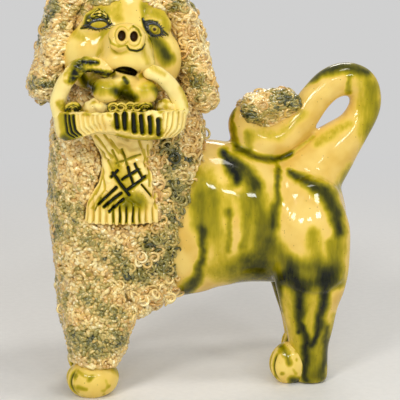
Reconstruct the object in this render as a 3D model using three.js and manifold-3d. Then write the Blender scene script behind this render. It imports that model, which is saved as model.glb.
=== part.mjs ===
// A pottery dog that carries a basket: hollow chest and body, a head turned to its left side,
// solid legs and tail, and coats of sieved clay.
// Millimetres, +Z up. The dog stands along X, its head end towards -X, and looks towards -Y.
import * as THREE from "three";
import { ParametricGeometry } from "three/addons/geometries/ParametricGeometry.js";
import { mergeVertices } from "three/addons/utils/BufferGeometryUtils.js";
import Module from "manifold-3d";

const wasm = await Module();
wasm.setup();

// Clay
const SEAM = 0.3; // slip seam between two pieces
const WALL = 6; // wall of the hollow chest, body and head
const MANE_DEPTH = 5; // sieved-clay coat on the chest
const LEG_COAT_DEPTH = 4; // sieved-clay coat on a foreleg
const EAR_COAT_DEPTH = 5; // sieved-clay coat round an ear flap
const CURL_RELIEF = 0.9; // how far a coat's surface rises and falls
const TUFT_SHARE = 0.65; // how much of that relief is even tufts

// Chest and neck
const BREAST_HEIGHT = 48; // ground to the underside of the chest
const CHEST_HEIGHT = 130;
const CHEST_LENGTH = 71;
const CHEST_WIDTH = 56;
const CHEST_LEAN = 6; // how far the neck leans back over the breast

// Body
const BELLY_HEIGHT = 52; // ground to the belly
const TORSO_REACH = 128; // middle of the chest to the rump
const TORSO_HEIGHT = 84;
const TORSO_WIDTH = 64;
const VENT_DIAMETER = 8; // firing vent in the belly
const VENT_SETBACK = 60; // middle of the chest to the vent

// Hind legs
const HAUNCH_SETBACK = 25; // rump to the middle of the haunch
const HAUNCH_LENGTH = 44;
const HAUNCH_DEPTH = 26;
const HAUNCH_SPREAD = 47; // middle of one haunch to the other
const SHANK_THICKNESS = 18;
const HIP_STAGGER = 6; // how far the right haunch lies behind the left one
const HIND_STAGGER = 8; // how far the right hind foot stands behind the left one
const HIND_TUCK = 9; // how much further the right hind paw sits under its leg
const HIND_PAW_LENGTH = 23;
const HIND_PAW_WIDTH = 22;
const HIND_PAW_HEIGHT = 23;

// Forelegs
const FORELEG_FORWARD = 12; // middle of the chest to the top of the leg
const FORELEG_LENGTH = 34;
const FORELEG_DEPTH = 22;
const FORE_ANKLE = 17;
const FORE_STAGGER = 5; // how far the right forefoot stands behind the left one
const FOREPAW_LENGTH = 28.4;
const FOREPAW_WIDTH = 24;
const FOREPAW_HEIGHT = 20.5;
const PAW_SPREAD = 38; // middle of a left paw to the middle of the right one
const PAW_FLAT = 1.5; // how much of a paw's ball is pressed flat
const TOE_GROOVE = 1.6; // width of the cut between two toes

// Tail
const TAIL_THICKNESS = 17;
const TAIL_ROOT_THICKNESS = 35;
const TAIL_RISE = 44; // back of the dog to the middle of the top bend
const TAIL_OVERHANG = 12.5; // rump to the middle of the rear bend
const CURL_FORWARD = 45; // rump to the lowest point of the curl
const CURL_WIDTH = 26; // tip of the tail to the rising side of the curl
const TUFT_LENGTH = 33;
const TUFT_HEIGHT = 25;
const TUFT_DEPTH = 27;

// Head
const HEAD_FORWARD = 22; // middle of the chest to the middle of the head
const HEAD_RISE = 13; // top of the chest to the middle of the head
const HEAD_WIDTH = 51;
const HEAD_DEPTH = 56;
const HEAD_HEIGHT = 62;
const HEAD_TILT = 4; // degrees
const CHEEK_SPREAD = 32; // middle of one cheek to the other
const CHEEK_WIDTH = 29;
const CHEEK_DEPTH = 24;
const CHEEK_HEIGHT = 34;
const CROWN_DEPTH = 10; // sieved-clay crown above the head
const MUZZLE_WIDTH = 27;
const MUZZLE_DEPTH = 31;
const MUZZLE_HEIGHT = 27;
const NOSE_WIDTH = 19.2;
const NOSE_HEIGHT = 14.2;
const NOSE_DEPTH = 9.6;
const NOSE_OFFSET = 2.4; // how far the nose sits to the left of the face's middle
const NOSTRIL_DIAMETER = 3.7;
const NOSTRIL_SPREAD = 6;
const JAW_WIDTH = 35;
const JAW_DEPTH = 28;
const JAW_HEIGHT = 19;
const MOUTH_WIDTH = 11.2;
const MOUTH_HEIGHT = 6.8;
const EYE_SPREAD = 29;
const EYE_RISE = 7.5; // middle of the head to the eye line
const EYE_WIDTH = 9.2;
const EYE_HEIGHT = 5.2;
const LID_WIDTH = 17;
const LID_HEIGHT = 13;
const EAR_LENGTH = 52;
const EAR_WIDTH = 25;
const EAR_THICKNESS = 7;
const EAR_FLARE = 13; // how far the tip hangs outside the root
const EAR_SWING = 3; // how far both tips swing towards the tail

// Basket
const BASKET_LENGTH = 66;
const BASKET_DEPTH = 30;
const BASKET_HEIGHT = 14.5;
const BASKET_WALL = 3.5;
const BASKET_WELL = 5; // rim to the floor
const BASKET_DROP = 2; // underside of the chin to the rim
const BASKET_OFFSET = 3.5; // basket's middle before the chest's middle
const FLUTE_COUNT = 32;
const FLUTE_DEPTH = 0.9;
const HANDLE_THICKNESS = 8;
const LEFT_ROLL_LENGTH = 18;
const RIGHT_ROLL_LENGTH = 13.5;
const ROLL_THICKNESS = 9;
const FLOWER_DIAMETER = 8.4;
const FLOWER_COIL = 3;
const LEAF_LENGTH = 11;
const LEAF_WIDTH = 8;
const LEAF_THICKNESS = 3;

// Cloth under the basket
const CLOTH_LENGTH = 49;
const CLOTH_TOP_WIDTH = 30;
const CLOTH_WAIST_WIDTH = 21;
const CLOTH_HEM_WIDTH = 37;
const CLOTH_DEPTH = 13;
const CLOTH_PROUD = 4.5; // how far the cloth stands out of the coat
const HEM_FLUTES = 20;
const HEM_FLUTE_DEPTH = 0.9;

const CAP_RINGS = 2;
const ALONG_X = new THREE.Vector3(1, 0, 0);
const ALONG_Y = new THREE.Vector3(0, 1, 0);
const LEFT = -1;
const RIGHT = 1;

// A limb of clay: oval sections along a smooth spine, with a rounded end on either side.
// A station is x, y, z, then half the width along the side axis, then half the width square to it.
// The power of the oval is 2 for an ellipse, and more for a squarer section.
function limb(form, grow = 0) {
  const { stations, side, caps, steps, sides, relief, power = 2 } = form;
  const bent = (value) => Math.sign(value) * Math.abs(value) ** (2 / power);
  const spine = new THREE.CatmullRomCurve3(stations.map(([x, y, z]) => new THREE.Vector3(x, y, z)));
  const section = new THREE.CatmullRomCurve3(stations.map((s) => new THREE.Vector3(s[3], s[4], 0)));
  const stacks = steps + 2 * CAP_RINGS;
  const skin = (u, v, target) => {
    const row = Math.round(v * stacks);
    const along = THREE.MathUtils.clamp((row - CAP_RINGS) / steps, 0, 1);
    const tangent = spine.getTangent(along);
    const across = side.clone().addScaledVector(tangent, -side.dot(tangent)).normalize();
    const deep = new THREE.Vector3().crossVectors(tangent, across);
    const before = Math.max(CAP_RINGS - row, 0) / CAP_RINGS;
    const after = Math.max(row - CAP_RINGS - steps, 0) / CAP_RINGS;
    const turn = ((before + after) * Math.PI) / 2;
    const reach = before > 0 ? -(caps[0] + grow) : caps[1] + grow;
    const size = section.getPoint(along);
    const angle = u * 2 * Math.PI;
    const bump = relief ? relief(Math.round(u * sides) % sides, row, along) : 0;
    const shrink = Math.cos(turn);
    target.copy(spine.getPoint(along));
    target.addScaledVector(tangent, reach * Math.sin(turn));
    target.addScaledVector(across, bent(Math.cos(angle)) * (size.x + grow + bump) * shrink);
    target.addScaledVector(deep, bent(Math.sin(angle)) * (size.y + grow + bump) * shrink);
  };
  return new ParametricGeometry(skin, sides, stacks);
}

// An egg of clay with its middle at x, y, z and its full width, depth and height.
function egg([x, y, z], [width, depth, height], grow = 0, segments = 16) {
  const ball = new THREE.SphereGeometry(1, segments, Math.round(segments * 0.6));
  ball.scale(width / 2 + grow, depth / 2 + grow, height / 2 + grow);
  return ball.translate(x, y, z);
}

// The uneven surface of sieved clay: every grid point of the skin is pushed in or out a little.
function matted(column, row) {
  const wave = Math.sin(column * 12.9898 + row * 78.233) * 43758.5453;
  return (wave - Math.floor(wave) - 0.5) * 2 * CURL_RELIEF;
}

// Tufts of sieved clay: a lump on every second grid point, staggered from row to row, none like another.
function tufted(column, row) {
  const lump = (column + row) % 2 === 0 ? CURL_RELIEF : -CURL_RELIEF;
  return lump * TUFT_SHARE + matted(column, row) * (1 - TUFT_SHARE);
}

function solid(geometry) {
  const bare = geometry.clone();
  bare.deleteAttribute("normal");
  bare.deleteAttribute("uv");
  const merged = mergeVertices(bare, 1e-4);
  const corners = merged.index.array;
  const kept = [];
  for (let i = 0; i < corners.length; i += 3) {
    const [a, b, c] = [corners[i], corners[i + 1], corners[i + 2]];
    if (a !== b && b !== c && c !== a) kept.push(a, b, c);
  }
  return new wasm.Manifold(
    new wasm.Mesh({
      numProp: 3,
      vertProperties: new Float32Array(merged.attributes.position.array),
      triVerts: new Uint32Array(kept),
    }),
  );
}

// What is left of a piece outside its neighbours: the main lump, without crumbs.
function trim(piece, ...neighbours) {
  const rest = neighbours.reduce((left, other) => left.subtract(other), piece);
  const lumps = rest.decompose();
  return lumps.reduce((best, lump) => (lump.volume() > best.volume() ? lump : best));
}

const limbSolid = (form, grow) => solid(limb(form, grow));
const eggSolid = (middle, size, grow, segments) => solid(egg(middle, size, grow, segments));

// Chest: an upright egg-shaped column that widens to the shoulders.
const CHEST_TOP = BREAST_HEIGHT + CHEST_HEIGHT;
const chestProfile = [
  [0.03, 0.77, 0.72, 0],
  [0.15, 0.8, 0.79, 0],
  [0.38, 0.935, 0.9, 0.2],
  [0.7, 1, 1, 1],
  [0.9, 0.84, 0.95, 1.1],
];
const chestForm = {
  stations: chestProfile.map(([rise, length, width, lean]) => [
    lean * CHEST_LEAN,
    0,
    BREAST_HEIGHT + rise * CHEST_HEIGHT,
    (length * CHEST_LENGTH) / 2,
    (width * CHEST_WIDTH) / 2,
  ]),
  side: ALONG_X,
  caps: [0.03 * CHEST_HEIGHT, 0.1 * CHEST_HEIGHT],
  power: 2.8,
  steps: 6,
  sides: 20,
};
const chestShape = (grow) => limbSolid(chestForm, grow);
const chestHollow = limbSolid({ ...chestForm, steps: 4, sides: 12 }, -WALL);

// Half the chest's width from front to back of the figure, at a height above the ground.
function chestHalfWidth(height) {
  const rise = (height - BREAST_HEIGHT) / CHEST_HEIGHT;
  const upper = chestProfile.findIndex(([at]) => at >= rise);
  const last = upper < 0 ? chestProfile.length - 1 : Math.max(upper, 1);
  const [below, above] = [chestProfile[last - 1], chestProfile[last]];
  const share = THREE.MathUtils.mapLinear(rise, below[0], above[0], below[2], above[2]);
  return (share * CHEST_WIDTH) / 2;
}

// Body: a barrel from inside the chest to the rump, hollow in the back.
const torsoProfile = [
  [0.16, 0.66, 1.04, 0.455],
  [0.3, 0.78, 1.03, 0.475],
  [0.4, 0.93, 0.995, 0.487],
  [0.52, 0.99, 0.925, 0.47],
  [0.67, 0.95, 0.82, 0.43],
  [0.81, 0.97, 0.833, 0.43],
  [0.905, 0.84, 0.74, 0.44],
];
const torsoForm = {
  stations: torsoProfile.map(([reach, width, height, rise]) => [
    reach * TORSO_REACH,
    0,
    BELLY_HEIGHT + rise * TORSO_HEIGHT,
    (width * TORSO_WIDTH) / 2,
    (height * TORSO_HEIGHT) / 2,
  ]),
  side: ALONG_Y,
  caps: [0.03 * TORSO_REACH, 0.095 * TORSO_REACH],
  steps: 7,
  sides: 20,
};
const torsoShape = (grow) => limbSolid(torsoForm, grow);
const torsoHollow = limbSolid({ ...torsoForm, steps: 4, sides: 12 }, -WALL);
const BACK_HEIGHT = BELLY_HEIGHT + (0.43 + 0.82 / 2) * TORSO_HEIGHT; // hollow of the back

// Hind leg with its haunch, from the hip to the ground.
const HIP_X = TORSO_REACH - HAUNCH_SETBACK;
const HIP_HEIGHT = BELLY_HEIGHT + 0.62 * TORSO_HEIGHT;
function hindLegForm(side) {
  const stagger = (height) =>
    side === RIGHT ? THREE.MathUtils.mapLinear(height, 0, HIP_HEIGHT, HIND_STAGGER, HIP_STAGGER) : 0;
  const station = (height, forward, spread, length, depth) => [
    HIP_X + forward * SHANK_THICKNESS + stagger(height),
    (side * spread) / 2,
    height,
    length / 2,
    depth / 2,
  ];
  const middle = (HAUNCH_LENGTH + SHANK_THICKNESS) / 2;
  return {
    stations: [
      station(HIP_HEIGHT, 0, HAUNCH_SPREAD * 0.85, HAUNCH_LENGTH * 0.77, HAUNCH_DEPTH * 0.77),
      station(HIP_HEIGHT - TORSO_HEIGHT * 0.24, 0, HAUNCH_SPREAD, HAUNCH_LENGTH, HAUNCH_DEPTH),
      station(BELLY_HEIGHT * 1.18, 0, HAUNCH_SPREAD, HAUNCH_LENGTH * 0.95, HAUNCH_DEPTH),
      station(BELLY_HEIGHT * 0.85, 0.02, HAUNCH_SPREAD * 0.915, middle * 1.065, HAUNCH_DEPTH * 0.88),
      station(BELLY_HEIGHT * 0.6, 0.08, PAW_SPREAD * 1.05, middle * 0.84, SHANK_THICKNESS * 1.17),
      station(BELLY_HEIGHT * 0.38, 0.11, PAW_SPREAD, SHANK_THICKNESS * 1.11, SHANK_THICKNESS * 1.055),
      station(BELLY_HEIGHT * 0.08, 0.22, PAW_SPREAD, SHANK_THICKNESS * 0.89, SHANK_THICKNESS),
    ],
    side: ALONG_X,
    caps: [HAUNCH_LENGTH * 0.25, BELLY_HEIGHT * 0.2],
    steps: 8,
    sides: 16,
  };
}

// Foreleg, from inside the chest down to its paw.
function forelegForm(side) {
  const stagger = side === RIGHT ? FORE_STAGGER : 0;
  const station = (height, forward, spread, length, depth) => [
    -FORELEG_FORWARD - forward * FORE_ANKLE + stagger * Math.max(1 - height / BREAST_HEIGHT, 0),
    (side * spread) / 2,
    height,
    length / 2,
    depth / 2,
  ];
  const middle = (FORELEG_LENGTH + FORE_ANKLE) / 2;
  return {
    stations: [
      station(BREAST_HEIGHT * 1.3, -0.06, PAW_SPREAD * 0.79, FORELEG_LENGTH, FORELEG_DEPTH),
      station(BREAST_HEIGHT * 0.94, 0.03, PAW_SPREAD * 0.87, FORELEG_LENGTH * 0.97, FORELEG_DEPTH),
      station(BREAST_HEIGHT * 0.65, 0.12, PAW_SPREAD * 0.92, middle * 1.04, FORELEG_DEPTH * 0.91),
      station(BREAST_HEIGHT * 0.38, 0.2, PAW_SPREAD * 0.947, FORE_ANKLE * 1.06, FORE_ANKLE),
      station(BREAST_HEIGHT * 0.24, 0.235, PAW_SPREAD * 0.947, FORE_ANKLE, FORE_ANKLE * 0.94),
    ],
    side: ALONG_X,
    caps: [FORE_ANKLE * 0.235, FORE_ANKLE * 0.235],
    steps: 5,
    sides: 12,
  };
}

// The coat of a foreleg covers the same limb, and ends above the paw.
function forelegCoatForm(side) {
  const form = forelegForm(side);
  const stations = form.stations.slice(0, 4);
  const caps = [FORE_ANKLE * 0.235, -FORE_ANKLE * 0.06];
  return { ...form, stations, caps, steps: 5, sides: 16, relief: matted };
}

// Paws: balls of clay pressed flat on the ground.
function paw(side, forward, stagger, size, grow) {
  const [, , height] = size;
  const x = forward + (side === RIGHT ? stagger : 0);
  const ball = [size[0], size[1], height + PAW_FLAT];
  return eggSolid([x, (side * PAW_SPREAD) / 2, height - (height + PAW_FLAT) / 2], ball, grow, 12);
}
const FOREPAW_X = -FORELEG_FORWARD - FORE_ANKLE * 0.3;
const HIND_PAW_X = HIP_X - SHANK_THICKNESS * 0.28 - HIND_PAW_LENGTH * 0.2;
const forepawSize = [FOREPAW_LENGTH, FOREPAW_WIDTH, FOREPAW_HEIGHT];
const hindPawSize = [HIND_PAW_LENGTH, HIND_PAW_WIDTH, HIND_PAW_HEIGHT];
const forepawShape = (side, grow) => paw(side, FOREPAW_X, FORE_STAGGER, forepawSize, grow);
const HIND_PAW_STAGGER = HIND_STAGGER + HIND_TUCK;
const hindPawShape = (side, grow) => paw(side, HIND_PAW_X, HIND_PAW_STAGGER, hindPawSize, grow);

// Two cuts between the toes of a paw, at its front.
function toeGrooves(side, forward, stagger, [length, width, height]) {
  const x = forward + (side === RIGHT ? stagger : 0) - length / 2;
  return [-1, 1].map((place) => {
    const disc = new THREE.CylinderGeometry(height * 0.42, height * 0.42, TOE_GROOVE, 8);
    disc.translate(x, (side * PAW_SPREAD) / 2 + (place * width) / 5, height * 0.3);
    return solid(disc);
  });
}

const ground = solid(
  new THREE.BoxGeometry(4 * TORSO_REACH, 4 * TORSO_REACH, TORSO_HEIGHT).translate(0, 0, -TORSO_HEIGHT / 2),
);

// Tail: a rolled coil that rises behind the rump, bends over and curls up on the back.
const CURL_X = TORSO_REACH - CURL_FORWARD;
const CURL_Z = BACK_HEIGHT + TAIL_THICKNESS / 2;
const TAIL_TOP = BACK_HEIGHT + TAIL_RISE;
const BEND_X = TORSO_REACH + TAIL_OVERHANG;
const tailForm = {
  stations: [
    [TORSO_REACH * 0.844, HIP_HEIGHT + TORSO_HEIGHT * 0.05, TAIL_ROOT_THICKNESS],
    [TORSO_REACH * 0.96, BACK_HEIGHT + TORSO_HEIGHT * 0.05, TAIL_ROOT_THICKNESS * 0.77],
    [BEND_X - TAIL_THICKNESS * 0.32, BACK_HEIGHT + TAIL_RISE * 0.455, TAIL_THICKNESS * 0.88],
    [BEND_X, TAIL_TOP - TAIL_THICKNESS * 0.765, TAIL_THICKNESS * 0.88],
    [BEND_X - TAIL_THICKNESS * 0.18, TAIL_TOP - TAIL_THICKNESS * 0.18, TAIL_THICKNESS * 0.94],
    [BEND_X - TAIL_THICKNESS * 0.71, TAIL_TOP, TAIL_THICKNESS],
    [BEND_X - TAIL_THICKNESS * 1.235, TAIL_TOP - TAIL_THICKNESS * 0.147, TAIL_THICKNESS * 0.94],
    [BEND_X - TAIL_THICKNESS * 1.735, TAIL_TOP - TAIL_THICKNESS * 0.618, TAIL_THICKNESS * 0.94],
    [CURL_X + CURL_WIDTH * 0.8, CURL_Z + CURL_WIDTH * 0.54, TAIL_THICKNESS * 0.94],
    [CURL_X + CURL_WIDTH * 0.44, CURL_Z + CURL_WIDTH * 0.14, TAIL_THICKNESS],
    [CURL_X, CURL_Z, TAIL_THICKNESS],
    [CURL_X - CURL_WIDTH * 0.39, CURL_Z + CURL_WIDTH * 0.16, TAIL_THICKNESS * 0.94],
    [CURL_X - CURL_WIDTH * 0.53, CURL_Z + CURL_WIDTH * 0.48, TAIL_THICKNESS * 0.82],
    [CURL_X - CURL_WIDTH * 0.48, CURL_Z + CURL_WIDTH * 0.69, TAIL_THICKNESS * 0.7],
  ].map(([x, z, thickness]) => [x, 0, z, thickness / 2, thickness / 2]),
  side: ALONG_Y,
  caps: [TAIL_THICKNESS * 0.235, TAIL_THICKNESS * 0.28],
  steps: 24,
  sides: 12,
};
const tailShape = (grow) => limbSolid(tailForm, grow);
const tuftForm = {
  stations: [
    [CURL_X - TUFT_LENGTH * 0.34, 0, CURL_Z + TUFT_HEIGHT * 0.66, TUFT_DEPTH * 0.4, TUFT_HEIGHT * 0.36],
    [CURL_X + TUFT_LENGTH * 0.04, 0, CURL_Z + TUFT_HEIGHT * 0.7, TUFT_DEPTH * 0.5, TUFT_HEIGHT * 0.5],
    [CURL_X + TUFT_LENGTH * 0.4, 0, CURL_Z + TUFT_HEIGHT * 0.84, TUFT_DEPTH * 0.42, TUFT_HEIGHT * 0.4],
  ],
  side: ALONG_Y,
  caps: [TUFT_LENGTH * 0.14, TUFT_LENGTH * 0.14],
  steps: 6,
  sides: 14,
  relief: matted,
};

// Head, in its own frame: origin at its middle, the face towards -Y.
const headFrame = new THREE.Group();
headFrame.position.set(-HEAD_WIDTH * 0.02, -HEAD_FORWARD, CHEST_TOP + HEAD_RISE);
headFrame.rotation.y = THREE.MathUtils.degToRad(HEAD_TILT);
headFrame.updateMatrixWorld(true);
const worldFromHead = headFrame.matrixWorld.toArray();
const headFromWorld = headFrame.matrixWorld.clone().invert().toArray();

const headSize = [HEAD_WIDTH, HEAD_DEPTH, HEAD_HEIGHT];
const cheekSize = [CHEEK_WIDTH, CHEEK_DEPTH, CHEEK_HEIGHT];
const cheekShape = (side, grow) =>
  eggSolid([(side * CHEEK_SPREAD) / 2, -HEAD_DEPTH * 0.23, -HEAD_HEIGHT * 0.145], cheekSize, grow, 14);
const headShape = (grow) =>
  eggSolid([0, 0, 0], headSize, grow, 18).add(cheekShape(LEFT, grow)).add(cheekShape(RIGHT, grow));
const MUZZLE_Y = -HEAD_DEPTH * 0.43;
const MUZZLE_Z = -HEAD_HEIGHT * 0.08;
const muzzleShape = (grow) =>
  eggSolid([0, MUZZLE_Y, MUZZLE_Z], [MUZZLE_WIDTH, MUZZLE_DEPTH, MUZZLE_HEIGHT], grow, 14);
const NOSE_Y = MUZZLE_Y - MUZZLE_DEPTH / 2 + NOSE_DEPTH * 0.26;
const NOSE_Z = MUZZLE_Z + MUZZLE_HEIGHT / 2 - NOSE_HEIGHT * 0.39;
const noseShape = (grow) =>
  eggSolid([-NOSE_OFFSET, NOSE_Y, NOSE_Z], [NOSE_WIDTH, NOSE_DEPTH, NOSE_HEIGHT], grow, 12);
const JAW_Z = MUZZLE_Z - MUZZLE_HEIGHT / 2 - JAW_HEIGHT * 0.185;
const JAW_Y = MUZZLE_Y + JAW_DEPTH * 0.107;
const jawShape = (grow) =>
  eggSolid([0, JAW_Y, JAW_Z], [JAW_WIDTH, JAW_DEPTH, JAW_HEIGHT], grow, 14);
const MOUTH_Z = JAW_Z + JAW_HEIGHT / 2 - MOUTH_HEIGHT * 0.3;
const mouth = eggSolid(
  [MOUTH_WIDTH * 0.045, JAW_Y - JAW_DEPTH * 0.464, MOUTH_Z],
  [MOUTH_WIDTH, HEAD_DEPTH * 0.9, MOUTH_HEIGHT],
  0,
  12,
);

// How far the head's front lies before its middle, at a place of the face.
function faceDepth(x, z) {
  const flat = 1 - (2 * x / HEAD_WIDTH) ** 2 - (2 * z / HEAD_HEIGHT) ** 2;
  return (HEAD_DEPTH / 2) * Math.sqrt(Math.max(flat, 0));
}
const EYE_DEPTH = faceDepth(EYE_SPREAD / 2, EYE_RISE);
const eyeballShape = (side, grow) =>
  eggSolid(
    [side * EYE_SPREAD / 2, -EYE_DEPTH - EYE_HEIGHT * 0.31, EYE_RISE],
    [EYE_WIDTH, EYE_WIDTH * 0.65, EYE_HEIGHT],
    grow,
    10,
  );
const eyelidShape = (side, grow) =>
  eggSolid(
    [side * EYE_SPREAD / 2, -EYE_DEPTH + LID_HEIGHT * 0.046, EYE_RISE + LID_HEIGHT * 0.115],
    [LID_WIDTH, LID_HEIGHT * 0.62, LID_HEIGHT],
    grow,
    10,
  );

// Ear flap: hangs from the side of the crown and flares outwards.
function earForm(side) {
  const root = HEAD_WIDTH / 2;
  const station = (out, y, z, thickness, width) => [
    side * (root + out) + (EAR_SWING * Math.max(out, 0)) / EAR_FLARE,
    y * EAR_THICKNESS,
    z,
    (width * EAR_WIDTH) / 2,
    (thickness * EAR_THICKNESS) / 2,
  ];
  const top = HEAD_HEIGHT * 0.36;
  return {
    stations: [
      station(-HEAD_WIDTH * 0.25, 0.43, top, 1, 0.7),
      station(EAR_FLARE * 0.08, 0.36, top - EAR_LENGTH * 0.04, 1, 0.84),
      station(EAR_FLARE * 0.6, 0.21, top - EAR_LENGTH * 0.4, 1, 1),
      station(EAR_FLARE * 0.95, 0, top - EAR_LENGTH * 0.72, 1, 1),
      station(EAR_FLARE * 1.2, -0.14, top - EAR_LENGTH * 0.93, 1, 0.84),
    ],
    side: ALONG_Y,
    caps: [EAR_THICKNESS * 0.29, EAR_LENGTH * 0.07],
    steps: 6,
    sides: 10,
  };
}
const earShape = (side, grow) => limbSolid(earForm(side), grow);
const earCoatForm = (side) => ({ ...earForm(side), steps: 8, sides: 14, relief: matted });
const earCoatShape = (side, grow) => limbSolid(earCoatForm(side), EAR_COAT_DEPTH + grow);

// Crown of sieved clay over the top and the back of the head.
const topknotForm = {
  stations: [
    [0, HEAD_DEPTH * 0.16, -HEAD_HEIGHT * 0.24, HEAD_WIDTH * 0.46, HEAD_DEPTH * 0.42],
    [0, HEAD_DEPTH * 0.16, HEAD_HEIGHT * 0.1, HEAD_WIDTH * 0.53, HEAD_DEPTH * 0.5],
    [0, HEAD_DEPTH * 0.125, HEAD_HEIGHT * 0.36, HEAD_WIDTH * 0.48, HEAD_DEPTH * 0.47],
  ],
  side: ALONG_X,
  caps: [HEAD_HEIGHT * 0.1, HEAD_HEIGHT * 0.14 + CROWN_DEPTH],
  steps: 9,
  sides: 24,
  relief: tufted,
};
const topknotShape = (grow) => limbSolid(topknotForm, grow);

// Basket: a fluted oval bowl on the breast, under the chin.
const CHIN_HEIGHT = headFrame.position.z + JAW_Z - JAW_HEIGHT / 2;
const RIM_HEIGHT = CHIN_HEIGHT - BASKET_DROP;
const BASKET_Y = -chestHalfWidth(RIM_HEIGHT) - MANE_DEPTH + BASKET_WALL * 0.29 - BASKET_DEPTH / 2;
const basketFlutes = (column) => (column % 2 === 0 ? FLUTE_DEPTH / 2 : -FLUTE_DEPTH / 2);
const basketForm = {
  stations: [
    [0.78, 0.8, 0.23],
    [0.95, 0.96, 0.53],
    [1, 1, 1.1],
  ].map(([length, depth, rise]) => [
    -BASKET_OFFSET,
    BASKET_Y,
    RIM_HEIGHT - BASKET_HEIGHT * (1 - rise),
    (length * BASKET_LENGTH) / 2,
    (depth * BASKET_DEPTH) / 2,
  ]),
  side: ALONG_X,
  caps: [BASKET_HEIGHT * 0.25, BASKET_WALL * 0.57],
  steps: 3,
  sides: 2 * FLUTE_COUNT,
  relief: basketFlutes,
};
const aboveRim = (grow) =>
  solid(
    new THREE.BoxGeometry(2 * BASKET_LENGTH, 2 * BASKET_DEPTH, BASKET_HEIGHT).translate(
      -BASKET_OFFSET,
      BASKET_Y,
      RIM_HEIGHT + BASKET_HEIGHT / 2 + grow,
    ),
  );
const basketWell = (grow) =>
  eggSolid(
    [-BASKET_OFFSET, BASKET_Y, RIM_HEIGHT + SEAM],
    [BASKET_LENGTH - 2 * BASKET_WALL, BASKET_DEPTH - 2 * BASKET_WALL, 2 * (BASKET_WELL + SEAM)],
    grow,
    16,
  );
const basketShape = (grow) =>
  limbSolid(basketForm, grow).subtract(aboveRim(grow)).subtract(basketWell(-grow));
const basketPlain = (grow) =>
  limbSolid({ ...basketForm, sides: 20, relief: undefined }, grow).subtract(aboveRim(grow));
const basketFilled = (grow) => limbSolid(basketForm, grow).subtract(aboveRim(grow));

// Handle: one coil on either side, from the basket's end up to the corner of the mouth.
const mouthCorner = (side) =>
  new THREE.Vector3(
    side * MUZZLE_WIDTH * 0.42,
    JAW_Y - JAW_DEPTH * 0.4,
    MOUTH_Z + HANDLE_THICKNESS * 0.125,
  ).applyMatrix4(headFrame.matrixWorld);
const handleBow = {
  [LEFT]: [
    [0, 0],
    [-0.04, 0.28],
    [0.04, 0.57],
    [0.21, 0.86],
    [0.46, 1.07],
    [0.73, 1.1],
    [1, 1],
  ],
  [RIGHT]: [
    [0, 0],
    [0.105, 0.295],
    [0.384, 0.636],
    [0.716, 0.895],
    [1, 1],
  ],
};
function handleForm(side) {
  const corner = mouthCorner(side);
  const foot = new THREE.Vector3(
    -BASKET_OFFSET + side * (BASKET_LENGTH / 2 - HANDLE_THICKNESS * 0.25),
    BASKET_Y,
    RIM_HEIGHT - BASKET_HEIGHT * 0.5,
  );
  return {
    stations: handleBow[side].map(([inwards, upwards]) => [
      THREE.MathUtils.lerp(foot.x, corner.x, inwards),
      THREE.MathUtils.lerp(foot.y, corner.y, upwards),
      THREE.MathUtils.lerp(foot.z, corner.z, upwards),
      HANDLE_THICKNESS / 2,
      HANDLE_THICKNESS / 2,
    ]),
    side: ALONG_Y,
    caps: [HANDLE_THICKNESS / 2, HANDLE_THICKNESS / 2],
    steps: 8,
    sides: 10,
  };
}
const handleShape = (side, grow) => limbSolid(handleForm(side), grow);

// What lies in the basket, as shares of half its length and half its depth from the middle.
const WELL_FLOOR = RIM_HEIGHT - BASKET_WELL;
const inBasket = (share, forward, rise) => [
  -BASKET_OFFSET + (share * BASKET_LENGTH) / 2,
  BASKET_Y - (forward * BASKET_DEPTH) / 2,
  WELL_FLOOR + rise,
];
function rollForm(side) {
  const [x, y, z] = inBasket(side === LEFT ? -0.34 : 0.56, 0.173, ROLL_THICKNESS * 0.62);
  const length = side === LEFT ? LEFT_ROLL_LENGTH : RIGHT_ROLL_LENGTH;
  const half = ROLL_THICKNESS / 2;
  const reach = length / 2 - half;
  const bow = reach ** 2 / (4 * half);
  return {
    stations: [
      [x - reach, y, z, half * 0.8, half * 0.8],
      [x, y - bow, z + bow, half, half],
      [x + reach, y, z, half * 0.7, half * 0.7],
    ],
    side: ALONG_Y,
    caps: [half * 0.6, half * 0.6],
    steps: 5,
    sides: 10,
  };
}
const rollShape = (side, grow) => limbSolid(rollForm(side), grow);
function flowerShape(side, grow) {
  const coil = FLOWER_COIL / 2;
  const ring = new THREE.TorusGeometry(FLOWER_DIAMETER / 2 - coil, coil + grow, 6, 12);
  ring.rotateX(THREE.MathUtils.degToRad(55));
  const place = side === LEFT ? [-0.74, 0.267, BASKET_WELL * 1.2] : [0.27, 0.4, BASKET_WELL * 1.1];
  return solid(ring.translate(...inBasket(...place)));
}
function leafShape(grow) {
  const blade = egg([0, 0, 0], [LEAF_WIDTH, LEAF_THICKNESS, LEAF_LENGTH], grow, 10);
  blade.rotateX(THREE.MathUtils.degToRad(-35));
  const [x, y, z] = inBasket(0.02, 0.2, BASKET_WELL * 1.2);
  return solid(blade.translate(x, y, z));
}

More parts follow.
